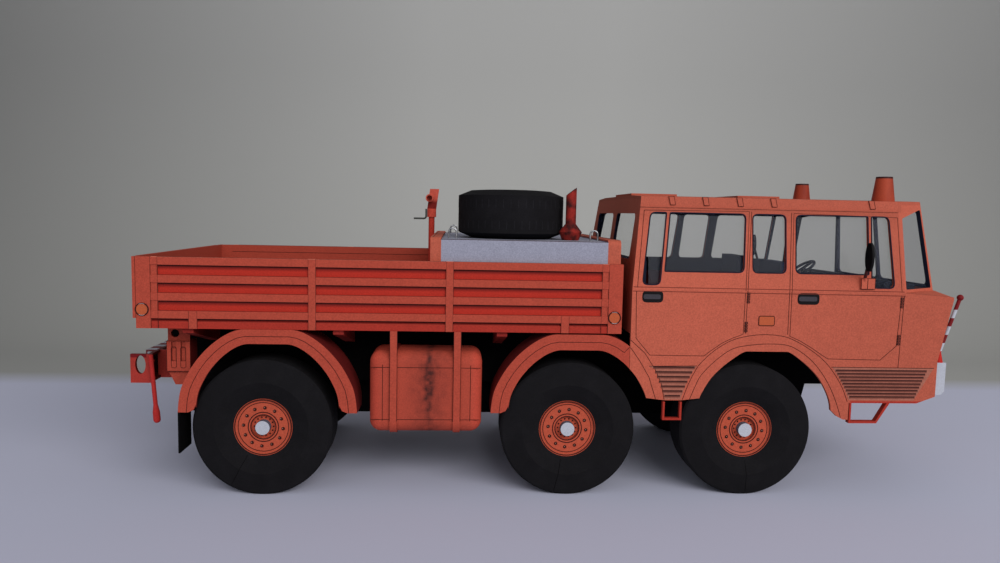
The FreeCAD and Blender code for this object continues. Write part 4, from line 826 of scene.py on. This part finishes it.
def pen_lines(name, paths, radius, finish, body="truck", closed=False):
    """Thin printed lines along paths, as one piece."""
    data = bpy.data.curves.new(name, "CURVE")
    data.dimensions = "3D"
    data.bevel_depth = radius
    data.bevel_resolution = 1
    data.use_fill_caps = True
    for path in paths:
        spline = data.splines.new("POLY")
        spline.points.add(len(path) - 1)
        for point, place in zip(spline.points, path):
            point.co = (*place, 1.0)
        spline.use_cyclic_u = closed
    holder = new_object(name, data)
    bpy.context.view_layer.update()
    mesh = bpy.data.meshes.new_from_object(holder)
    bpy.data.objects.remove(holder)
    bpy.data.curves.remove(data)
    mesh.name = name
    return new_piece(name, mesh, finish, body)


def new_verts(made):
    """Corners among what an extrusion made."""
    return [item for item in made["geom"] if isinstance(item, bmesh.types.BMVert)]


def add_block(work, low, high, bevel=0.0):
    """Adds a box between two corners, with its edges rounded if asked."""
    made = bmesh.ops.create_cube(work, size=1.0)
    bmesh.ops.scale(work, vec=high - low, verts=made["verts"])
    bmesh.ops.translate(work, vec=(low + high) / 2, verts=made["verts"])
    if bevel:
        edges = list({edge for vert in made["verts"] for edge in vert.link_edges})
        bmesh.ops.bevel(work, geom=edges, offset=bevel, affect="EDGES", segments=2, profile=0.5,
                        material=-1)


def add_side_block(work, side, along, up, out, bevel=0.0):
    """Adds a box from its spans along, up and outward from the body's side."""
    low, high = (spot(x, side * (BODY_HALF_WIDTH + reach), z)
                 for x, reach, z in zip(along, out, up))
    low.y, high.y = sorted((low.y, high.y))
    add_block(work, low, high, bevel * MM)


def add_sheet(work, corners, out):
    """Adds a flat sheet with some corners, thickened by an offset."""
    verts = [work.verts.new(corner) for corner in corners]
    made = bmesh.ops.extrude_face_region(work, geom=[work.faces.new(verts)])
    bmesh.ops.translate(work, vec=out, verts=new_verts(made))


def add_slab(work, outline, side, y, thickness):
    """Adds a flat slab of an (x, z) outline lying on an upright plane at one side."""
    add_sheet(work, on_plane(side, outline, y), (0, side * thickness * MM, 0))


def round_axle(axle, angle, reach, y):
    """Point round an axle, from an angle, a radius and a place along the axle."""
    return axle + Vector((math.cos(angle) * reach, y, math.sin(angle) * reach))


def add_ring(work, centre, side, radius, width, y, height):
    """Adds a thin flat ring round an axle, spun from its own section."""
    inner, outer = radius - width / 2, radius + width / 2
    verts = [work.verts.new(centre + Vector((reach * MM, side * (y + rise) * MM, 0.0)))
             for reach, rise in oblong(inner, outer, 0.0, height)]
    edges = [work.edges.new((verts[index], verts[(index + 1) % 4])) for index in range(4)]
    bmesh.ops.spin(work, geom=verts + edges, cent=centre, axis=(0, 1, 0), dvec=(0, 0, 0),
                   angle=math.tau, steps=RING_STEPS, use_merge=True, use_duplicate=False)


def add_nut(work, place, side, radius, height):
    """Adds a small tapered nut that faces outward."""
    turn = Matrix.Rotation(math.radians(-90 * side), 4, "X")
    bmesh.ops.create_cone(work, cap_ends=True, cap_tris=False, segments=NUT_SIDES,
                          radius1=radius, radius2=NUT_TOP_SHARE * radius, depth=height,
                          matrix=Matrix.Translation(place) @ turn)


def add_tread(name, centre, side, upright, radius, low, high, body):
    """Two rows of thin printed tread marks round a tyre, standing upright or lying flat."""
    work = bmesh.new()
    count = sizes().tread_count
    middle, half = (low + high) / 2, (high - low) / 2
    depth, width, length = TREAD_MARK
    for row, offset in TREAD_ROWS:
        for index in range(count):
            angle = (index + offset) * math.tau / count
            verts = bmesh.ops.create_cube(work, size=1.0)["verts"]
            bmesh.ops.scale(work, vec=(depth * MM, width * MM, length * half * MM), verts=verts)
            height = (side * middle + row * half) * MM
            bmesh.ops.translate(work, vec=(radius * MM, 0, height), verts=verts)
            bmesh.ops.rotate(work, cent=(0, 0, 0), matrix=Matrix.Rotation(angle, 3, "Z"),
                             verts=verts)
    if upright:
        bmesh.ops.rotate(work, cent=(0, 0, 0), matrix=Matrix.Rotation(math.radians(-90), 3, "X"),
                         verts=work.verts)
    bmesh.ops.translate(work, vec=centre, verts=work.verts)
    from_bmesh(name, work, "tread_mark", body)


# Operators

class CardTruckOperator:
    """Shared settings of the operators below."""
    bl_options = {"REGISTER", "UNDO"}


class CARDTRUCK_OT_finishes(CardTruckOperator, bpy.types.Operator):
    """Give every card piece of the truck its printed finish"""
    bl_idname = "card_truck.finishes"
    bl_label = "Card finishes"

    def execute(self, context):
        make_finishes()
        card_of = {node: card for card, nodes in SOLIDS_OF_CARD.items() for node in nodes.split()}
        for node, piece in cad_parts.items():
            card = card_of.get(node) or node.split("_")[0] + "_card"
            piece.data.materials.clear()
            piece.data.materials.append(FINISHES[card])
        return {"FINISHED"}


class CARDTRUCK_OT_cab_printing(CardTruckOperator, bpy.types.Operator):
    """Print the door, belt and wheel arch lines on the cab's sides and fit the roof clips"""
    bl_idname = "card_truck.cab_printing"
    bl_label = "Cab printing"

    def execute(self, context):
        for hand, side in SIDES:
            paths = DOOR_LINES + tuple(smooth(line) for line in CAB_ARCH_LINES) + REAR_EDGES
            paths = [on_cab(side, path) for path in paths]
            pen_lines("cab_lines_" + hand, paths, pen(), "ink")
            belts = [on_cab(side, path) for path in BELT_LINES]
            pen_lines("belt_lines_" + hand, belts, pen(BOLD), "soft_ink")
            clips = bmesh.new()
            edges = []
            out = Vector((0, side * CLIP_SHEET * MM, 0))
            for x in CLIPS_X:
                corners = [spot(x + reach, side * (wall_y(z) - sink), z)
                           for reach, sink, z in CLIP_CORNERS]
                add_sheet(clips, corners, out)
                edges.append([corner + out for corner in corners])
            from_bmesh("roof_clips_" + hand, clips, "lever_clip")
            pen_lines("roof_clip_edges_" + hand, edges, pen(FIRM), "ink", closed=True)
        return {"FINISHED"}


class CARDTRUCK_OT_window_edging(CardTruckOperator, bpy.types.Operator):
    """Edge the side windows in dark navy"""
    bl_idname = "card_truck.window_edging"
    bl_label = "Window edging"

    def execute(self, context):
        for hand, side in SIDES:
            paths = [on_cab(side, outline) for outline in window_outlines()]
            pen_lines("window_edging_" + hand, paths, sizes().edging, "navy",
                      closed=True)
        return {"FINISHED"}


class CARDTRUCK_OT_grilles(CardTruckOperator, bpy.types.Operator):
    """Lay the two louvred grilles on each side of the cab"""
    bl_idname = "card_truck.grilles"
    bl_label = "Side grilles"

    def execute(self, context):
        for hand, side in SIDES:
            fields, slots, blades = bmesh.new(), bmesh.new(), bmesh.new()
            for count, first, last, outline in GRILLES:
                add_slab(fields, outline, side, BODY_HALF_WIDTH, GRILLE_SHEET)
                for index in range(count):
                    share = (index + 0.5) / count
                    rear, front, z = (start + (end - start) * share
                                      for start, end in zip(first, last))
                    for work, (low, high, out) in ((slots, GRILLE_SLOT), (blades, GRILLE_BLADE)):
                        add_side_block(work, side, (rear, front), (z + low, z + high), (0.0, out))
            for name, work, finish in (("fields", fields, "field"), ("slots", slots, "slot_dark"),
                                       ("blades", blades, "slot_light")):
                from_bmesh("grille_%s_%s" % (name, hand), work, finish)
        return {"FINISHED"}


class CARDTRUCK_OT_door_fittings(CardTruckOperator, bpy.types.Operator):
    """Fit the door handles, hinges and the side marker lamps"""
    bl_idname = "card_truck.door_fittings"
    bl_label = "Door fittings"

    def execute(self, context):
        for hand, side in SIDES:
            recesses, grips, hinges, centres, lens = (bmesh.new() for _ in range(5))
            for rear, front in HANDLES_X:
                recess = rounded(oblong(rear, front, *RECESS_Z), RECESS_CORNER)
                add_slab(recesses, recess, side, BODY_HALF_WIDTH, RECESS_SHEET)
                grip = rounded(oblong(rear + GRIP_REAR_GAP, front - GRIP_FRONT_GAP, *GRIP_Z),
                               GRIP_CORNER)
                add_slab(grips, grip, side, BODY_HALF_WIDTH + GRIP_OUT, GRIP_SHEET)
            for x, foot, head in HINGES:
                step = (head - foot) / HINGE_KNUCKLES
                for index in range(HINGE_KNUCKLES):
                    for work, part in ((hinges, KNUCKLE), (centres, KNUCKLE_CENTRE)):
                        half, shares, out, bevel = part
                        up = [foot + step * (index + share) for share in shares]
                        add_side_block(work, side, (x - half, x + half), up, out, bevel)
            from_bmesh("hinge_centres_" + hand, centres, "soft_ink")
            from_bmesh("handle_recesses_" + hand, recesses, "recess")
            from_bmesh("door_grips_" + hand, grips, "grip")
            from_bmesh("door_hinges_" + hand, hinges, "slot_dark")
            lamp = rounded(oblong(*MARKER_LAMP), MARKER_CORNER)
            add_slab(lens, lamp, side, BODY_HALF_WIDTH, MARKER_SHEET)
            from_bmesh("marker_lens_" + hand, lens, "lamp_orange")
            rim = on_plane(side, lamp, BODY_HALF_WIDTH + MARKER_RIM_OUT)
            pen_lines("marker_rim_" + hand, [rim], pen(BOLD), "ink", closed=True)
        return {"FINISHED"}


class CARDTRUCK_OT_bed_printing(CardTruckOperator, bpy.types.Operator):
    """Print the shadow lines, outlines and lamps of the load bed"""
    bl_idname = "card_truck.bed_printing"
    bl_label = "Bed printing"

    def execute(self, context):
        ribs = [RIB_LOW_Z + RIB_PITCH * index for index in range(RIB_COUNT)]
        for hand, side in SIDES:
            shadows = [level_line(side, BOARD_SHADOW_Y, span, low)
                       for low in ribs for span in RIB_SPANS]
            outlines = [level_line(side, BOARD_LINE_Y, span, low + RIB_HEIGHT)
                        for low in ribs for span in RIB_SPANS]
            for places, top in ((BOARD_LINES_X, BOARD_TOP_Z), (BOARD_FOOT_LINES_X, BOARD_FOOT_Z)):
                outlines += [upright_line(side, BOARD_LINE_Y, x, BOARD_LOW_Z, top) for x in places]
            outlines.append(upright_line(side, END_LINE_Y, END_LINE_X, RIB_LOW_Z, BOARD_TOP_Z))
            edges = [level_line(side, BOARD_LINE_Y, BOARD_TOP_X, BOARD_TOP_Z)]
            inside = [level_line(side, INNER_LINES_Y, INNER_LINES_X, z) for z in INNER_LINES_Z]
            pen_lines("rib_shadows_" + hand, shadows, sizes().shadow, "ink")
            pen_lines("bed_outlines_" + hand, outlines, pen(FINE), "ink")
            pen_lines("bed_edges_" + hand, edges, pen(FINE), "pale_edge")
            pen_lines("bed_inner_lines_" + hand, inside, pen(), "ink")
            lamps = bmesh.new()
            rims, marks = [], []
            for x, z in BED_LAMPS:
                lamp = circle(x, z, BED_LAMP_RADIUS, BED_LAMP_SIDES)
                add_slab(lamps, lamp, side, BODY_HALF_WIDTH, BED_LAMP_SHEET)
                rims.append(on_plane(side, lamp, BODY_HALF_WIDTH + BED_LAMP_RIM_OUT))
                for way in (-LAMP_MARK_RADIUS, LAMP_MARK_RADIUS):
                    arc = [(x + LAMP_MARK_RADIUS * math.sin(turn), z + way * math.cos(turn))
                           for turn in LAMP_MARK_TURNS]
                    marks.append(on_plane(side, arc, LAMP_MARK_Y))
            from_bmesh("bed_lamps_" + hand, lamps, "lamp_orange")
            pen_lines("bed_lamp_rims_" + hand, rims, pen(HEAVY), "ink", closed=True)
            pen_lines("bed_lamp_marks_" + hand, marks, pen(SOFT), "lamp_mark")
        return {"FINISHED"}


class CARDTRUCK_OT_fender_printing(CardTruckOperator, bpy.types.Operator):
    """Print the outlines of the mudguards and lamp boxes and the seams of the tanks"""
    bl_idname = "card_truck.fender_printing"
    bl_label = "Mudguard and tank printing"

    def execute(self, context):
        for hand, side in SIDES:
            middle = [point for point in arch_path(*MIDDLE_ARCH) if point[0] < MIDDLE_ARCH_END[0]]
            arches = [on_plane(side, path, BODY_HALF_WIDTH)
                      for path in (arch_path(*REAR_ARCH), middle + [MIDDLE_ARCH_END])]
            seams = [level_line(side, TANK_Y, span, z)
                     for z in TANK_SEAMS_Z for span in TANK_SEAMS_X]
            seams += [upright_line(side, TANK_Y, x, TANK_LOW_Z, TANK_TOP_Z) for x in TANK_ENDS_X]
            straps = [upright_line(side, STRAP_Y, x, TANK_LOW_Z, STRAP_TOP_Z)
                      for x in STRAP_EDGES_X]
            boxes = [on_plane(side, LAMP_BOX, LAMP_BOX_Y)]
            for x in LAMP_SLOTS_X:
                slot = rounded(oblong(x - LAMP_SLOT_HALF, x + LAMP_SLOT_HALF, *LAMP_SLOT_Z),
                               LAMP_SLOT_CORNER)
                boxes.append(on_plane(side, slot + slot[:1], LAMP_BOX_Y))
            for name, paths, width in (("mudguard_lines", arches, pen()),
                                       ("tank_seams", seams, pen()),
                                       ("strap_outlines", straps, pen(FINE)),
                                       ("lamp_box_lines", boxes, pen(SOFT))):
                pen_lines(name + "_" + hand, paths, width, "ink")
        return {"FINISHED"}


class CARDTRUCK_OT_front_printing(CardTruckOperator, bpy.types.Operator):
    """Print the front hatch, the headlamp rings and the mirror mounts"""
    bl_idname = "card_truck.front_printing"
    bl_label = "Front printing"

    def execute(self, context):
        hatch = [spot(FRONT_LOW_X + (z - FRONT_LOW_Z) * FRONT_LEAN, y, z)
                 for y, z in rounded(oblong(*HATCH), HATCH_CORNER)]
        pen_lines("front_hatch_lines", [hatch], pen(), "ink", closed=True)
        rings = []
        for lamp_y in HEADLAMPS_Y:
            for radius in HEADLAMP_RINGS:
                ring = circle(lamp_y, HEADLAMP_Z, radius, HEADLAMP_SIDES)
                rings.append([spot(HEADLAMP_X, y, z) for y, z in ring])
        pen_lines("headlamp_rings", rings, pen(), "ink", closed=True)
        for hand, side in SIDES:
            mount = oblong(*MOUNT)
            paths = [on_plane(side, mount + mount[:1], MOUNT_Y),
                     upright_line(side, MOUNT_Y, MOUNT_STEM_X, *MOUNT[2:])]
            pen_lines("mirror_mount_lines_" + hand, paths, pen(FIRM), "ink")
        return {"FINISHED"}


class CARDTRUCK_OT_front_carrier(CardTruckOperator, bpy.types.Operator):
    """Fold the black card carrier in front of the front axle"""
    bl_idname = "card_truck.front_carrier"
    bl_label = "Front axle carrier"

    def execute(self, context):
        half, sheet = CARRIER_HALF_WIDTH, CARRIER_SHEET
        work = bmesh.new()
        for side in (-1, 1):
            add_slab(work, CARRIER_OUTLINE, side, half, sheet)
        rows = []
        for x, z in CARRIER_OUTLINE[1:]:
            rows.append([work.verts.new(spot(x, side * (half + sheet / 2), z + CARRIER_LAP))
                         for side in (-1, 1)])
        for low, high in zip(rows, rows[1:]):
            work.faces.new((low[0], low[1], high[1], high[0]))
        for x in CARRIER_WEBS_X:
            foot, head = CARRIER_WEBS_Z
            add_block(work, spot(x, -half, foot), spot(x + sheet, half, head), CARRIER_BEVEL * MM)
        piece = from_bmesh("front_axle_carrier", work, "black_card")
        fold = piece.modifiers.new("Card", "SOLIDIFY")
        fold.thickness = CARRIER_CARD * MM
        return {"FINISHED"}


class CARDTRUCK_OT_wheel_printing(CardTruckOperator, bpy.types.Operator):
    """Print the rims, nuts, seams and tread marks of the six wheels"""
    bl_idname = "card_truck.wheel_printing"
    bl_label = "Wheel printing"

    def print_wheel(self, name, side, seam_turn):
        """Prints one wheel, which turns with its own body."""
        size = sizes()
        body = "wheel_" + name
        centre = centre_of("tyre_" + name)
        axle = Vector((centre.x, 0.0, centre.z))
        rings, nuts, glints = bmesh.new(), bmesh.new(), bmesh.new()
        for ring in DISC_RINGS:
            add_ring(rings, axle, side, *ring, RIM_DISC_Y - DISC_RING_SINK, DISC_RING_HEIGHT)
        # Painted shadow: a dark ring round the rim's outer edge
        add_ring(rings, axle, side, *RIM_EDGE_SHADOW, RIM_FACE_Y - RIM_EDGE_SHADOW_SINK, RIM_EDGE_SHADOW_HEIGHT)
        shift = Vector(GLINT_SHIFT) * MM
        shift.y *= side
        for index in range(size.nut_count):
            angle = math.radians(NUT_TURN) + index * math.tau / size.nut_count
            place = round_axle(axle, angle, size.nut_circle, side * (RIM_DISC_Y + NUT_OUT) * MM)
            add_nut(nuts, place, side, size.nut_radius, NUT_HEIGHT * MM)
            add_nut(glints, place + shift, side, GLINT_RADIUS * MM, GLINT_HEIGHT * MM)
        for index in range(size.bolt_count):
            place = round_axle(axle, index * math.tau / size.bolt_count, BOLT_CIRCLE * MM,
                               side * (HUB_FLOOR_Y + BOLT_OUT) * MM)
            add_nut(nuts, place, side, BOLT_RADIUS * MM, NUT_HEIGHT * MM)
        from_bmesh("rim_rings_" + name, rings, "ink", body)
        from_bmesh("wheel_nuts_" + name, nuts, "nut_dark", body)
        from_bmesh("nut_glints_" + name, glints, "nut_speck", body)
        seam = [round_axle(axle, math.radians(-seam_turn), reach * MM, side * (y - SEAM_SINK) * MM)
                for reach, y in TYRE_WALL]
        pen_lines("tyre_seam_" + name, [seam], SEAM_RADIUS * MM, "black_card", body)
        add_tread("tread_marks_" + name, axle, side, True, TREAD_RADIUS,
                  TYRE_FACE_Y - TYRE_WIDTH + TREAD_EDGE, TYRE_FACE_Y - TREAD_EDGE, body)

    def execute(self, context):
        for place, seam_turn in SEAM_TURNS:
            for hand, side in SIDES:
                self.print_wheel(place + "_" + hand, side, seam_turn)
        return {"FINISHED"}


class CARDTRUCK_OT_spare_wheel(CardTruckOperator, bpy.types.Operator):
    """Print the tread of the spare wheel and the edges of the ballast block under it"""
    bl_idname = "card_truck.spare_wheel"
    bl_label = "Spare wheel"

    def execute(self, context):
        low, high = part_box("spare_tyre")
        middle = (low + high) / 2
        add_tread("spare_tread_marks", Vector((middle.x, middle.y, 0.0)), 1, False,
                  SPARE_TREAD_RADIUS, low.z / MM + SPARE_EDGE, high.z / MM - SPARE_EDGE, "truck")
        low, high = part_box("ballast_block")
        top = [Vector((x, y, high.z)) for x, y in oblong(low.x, high.x, low.y, high.y)]
        pen_lines("block_outline", [top], pen(SOFT), "ink", closed=True)
        edge = [Vector((high.x - BLUE_EDGE_IN * MM, y, high.z)) for y in (low.y, high.y)]
        pen_lines("block_blue_edge", [edge], pen(WIDE), "blue_edge")
        rear_lip = low.x - REAR_LIP_OUT * MM
        low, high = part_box("block_end_plates")
        lips = [[Vector((x, side * (high.y - LIP_END_IN * MM), high.z)) for side in (-1, 1)]
                for x in (rear_lip, high.x - FRONT_LIP_IN * MM)]
        pen_lines("end_plate_lips", lips, pen(SOFT), "ink")
        return {"FINISHED"}


# Stage, in metres but for the camera's place

CAMERA_PLACE = (55.751, -251.132, 83.332)
CAMERA_YAW, CAMERA_PITCH, CAMERA_ROLL = 0.0581, 0.091, -0.0211
CAMERA_FOCAL, IMAGE_WIDTH, CAMERA_NEAR = 740.32, 1000, 0.01
TABLE_SIZE, TABLE_BACK_Y = (7.0, 4.0, 1.0), 0.17
WALL_CURVE, WALL_STEPS, WALL_HEIGHT = 0.2, 16, 3.0
WALL_START_Y = (0.1, 0.125)
# Where the wall grows lighter and darker again along x, with its share of light
WALL_LEFT = (-0.45, -0.05, 0.46, 1.0)
WALL_RIGHT = (0.1, 0.45, 1.0, 0.6)
ROOM_COLOUR, ROOM_STRENGTH = (0.93, 0.95, 1.0, 1.0), 0.36
# Name, place, target, width and height, power and tint
LAMPS = (
    ("window_light", (0.48, -0.95, 0.62), (0.02, 0.0, 0.03), (1.1, 0.42), 9.2, (1.0, 0.98, 0.97)),
    ("room_light", (-0.35, -0.75, 0.55), (0.0, 0.0, 0.04), (0.9, 0.9), 1.2, (0.92, 0.95, 1.0)),
)


def camera_axes():
    """Right, up and back directions of the camera."""
    forward = Vector((math.sin(CAMERA_YAW) * math.cos(CAMERA_PITCH),
                      math.cos(CAMERA_YAW) * math.cos(CAMERA_PITCH), -math.sin(CAMERA_PITCH)))
    level = Vector((math.cos(CAMERA_YAW), -math.sin(CAMERA_YAW), 0.0))
    rise = level.cross(forward)
    right = level * math.cos(CAMERA_ROLL) - rise * math.sin(CAMERA_ROLL)
    up = rise * math.cos(CAMERA_ROLL) + level * math.sin(CAMERA_ROLL)
    return right, up, -forward


def add_lamp(name, place, target, size, power, colour):
    """Soft oblong lamp that looks at a point."""
    data = bpy.data.lights.new(name, "AREA")
    data.shape = "RECTANGLE"
    data.size, data.size_y = size
    data.energy = power
    data.color = colour
    lamp = new_object(name, data)
    lamp.location = place
    lamp.rotation_euler = (Vector(target) - Vector(place)).to_track_quat("-Z", "Y").to_euler()


def table_mesh():
    """Flat table that curves up into a wall behind the model."""
    work = bmesh.new()
    bmesh.ops.create_grid(work, x_segments=1, y_segments=1, size=0.5)
    bmesh.ops.scale(work, vec=TABLE_SIZE, verts=work.verts)
    bmesh.ops.translate(work, vec=(0, TABLE_BACK_Y - TABLE_SIZE[1] / 2, 0), verts=work.verts)
    back = [item for item in work.edges if min(vert.co.y for vert in item.verts) > 0]
    bmesh.ops.spin(work, geom=back, cent=(0, TABLE_BACK_Y, WALL_CURVE), axis=(1, 0, 0),
                   dvec=(0, 0, 0), angle=math.radians(90), steps=WALL_STEPS)
    top = [item for item in work.edges
           if min(vert.co.z for vert in item.verts) > WALL_CURVE - MM and item.is_boundary
           and abs(item.verts[0].co.x - item.verts[1].co.x) > TABLE_SIZE[0] / 2]
    raised = bmesh.ops.extrude_edge_only(work, edges=top)
    bmesh.ops.translate(work, vec=(0, 0, WALL_HEIGHT), verts=new_verts(raised))
    mesh = bpy.data.meshes.new("table_and_wall")
    work.to_mesh(mesh)
    work.free()
    mesh.shade_smooth()
    return mesh


class CARDTRUCK_OT_stage(CardTruckOperator, bpy.types.Operator):
    """Set the pale table, the soft lamps and the camera"""
    bl_idname = "card_truck.stage"
    bl_label = "Stage, lamps and camera"

    def execute(self, context):
        paint = colours()
        scene = context.scene
        mesh = table_mesh()
        table = new_object("table_and_wall", mesh)
        finish = Finish("table_paper")
        finish.surface(0.9, 0.1)
        climb = finish.ramp(finish.axes["Y"], *WALL_START_Y)
        left, right = (finish.ramp(finish.axes["X"], *span) for span in (WALL_LEFT, WALL_RIGHT))
        wall = finish.darken(paint.wall, finish.times(left, right))
        finish.colour(finish.mix(climb, paint.floor, wall))
        mesh.materials.append(finish.material)

        world = scene.world or bpy.data.worlds.new("Soft room")
        scene.world = world
        world.use_nodes = True
        sky = world.node_tree.nodes["Background"]
        sky.inputs["Color"].default_value = ROOM_COLOUR
        sky.inputs["Strength"].default_value = ROOM_STRENGTH
        for lamp in LAMPS:
            add_lamp(*lamp)

        scene.view_settings.view_transform = "Standard"
        data = bpy.data.cameras.new("photo_view")
        data.lens = CAMERA_FOCAL / IMAGE_WIDTH * data.sensor_width
        data.clip_start = CAMERA_NEAR
        camera = new_object("photo_view", data)
        turn = Matrix(camera_axes()).transposed().to_4x4()
        camera.matrix_world = Matrix.Translation(spot(*CAMERA_PLACE)) @ turn
        scene.camera = camera
        return {"FINISHED"}


OPERATORS = (
    CARDTRUCK_OT_finishes, CARDTRUCK_OT_cab_printing, CARDTRUCK_OT_window_edging,
    CARDTRUCK_OT_grilles, CARDTRUCK_OT_door_fittings, CARDTRUCK_OT_bed_printing,
    CARDTRUCK_OT_fender_printing, CARDTRUCK_OT_front_printing, CARDTRUCK_OT_front_carrier,
    CARDTRUCK_OT_wheel_printing, CARDTRUCK_OT_spare_wheel, CARDTRUCK_OT_stage,
)


class CARDTRUCK_PT_panel(bpy.types.Panel):
    """Lists the card truck's steps, sizes and colours"""
    bl_label = "Card truck"
    bl_space_type = "VIEW_3D"
    bl_region_type = "UI"
    bl_category = "Card truck"

    def draw(self, context):
        layout = self.layout
        for operator in OPERATORS:
            layout.operator(operator.bl_idname)
        for group in (sizes(), colours()):
            column = layout.column()
            for name in group.bl_rna.properties.keys():
                if name not in ("rna_type", "name"):
                    column.prop(group, name)


CLASSES = (CardTruckColours, CardTruckSizes) + OPERATORS + (CARDTRUCK_PT_panel,)


def register():
    for item in CLASSES:
        bpy.utils.register_class(item)
    bpy.types.Scene.card_truck_colours = PointerProperty(type=CardTruckColours)
    bpy.types.Scene.card_truck_sizes = PointerProperty(type=CardTruckSizes)


def unregister():
    del bpy.types.Scene.card_truck_sizes
    del bpy.types.Scene.card_truck_colours
    for item in reversed(CLASSES):
        bpy.utils.unregister_class(item)


def main():
    register()
    for operator in OPERATORS:
        group, name = operator.bl_idname.split(".")
        getattr(getattr(bpy.ops, group), name)()


if __name__ == "__main__":
    main()
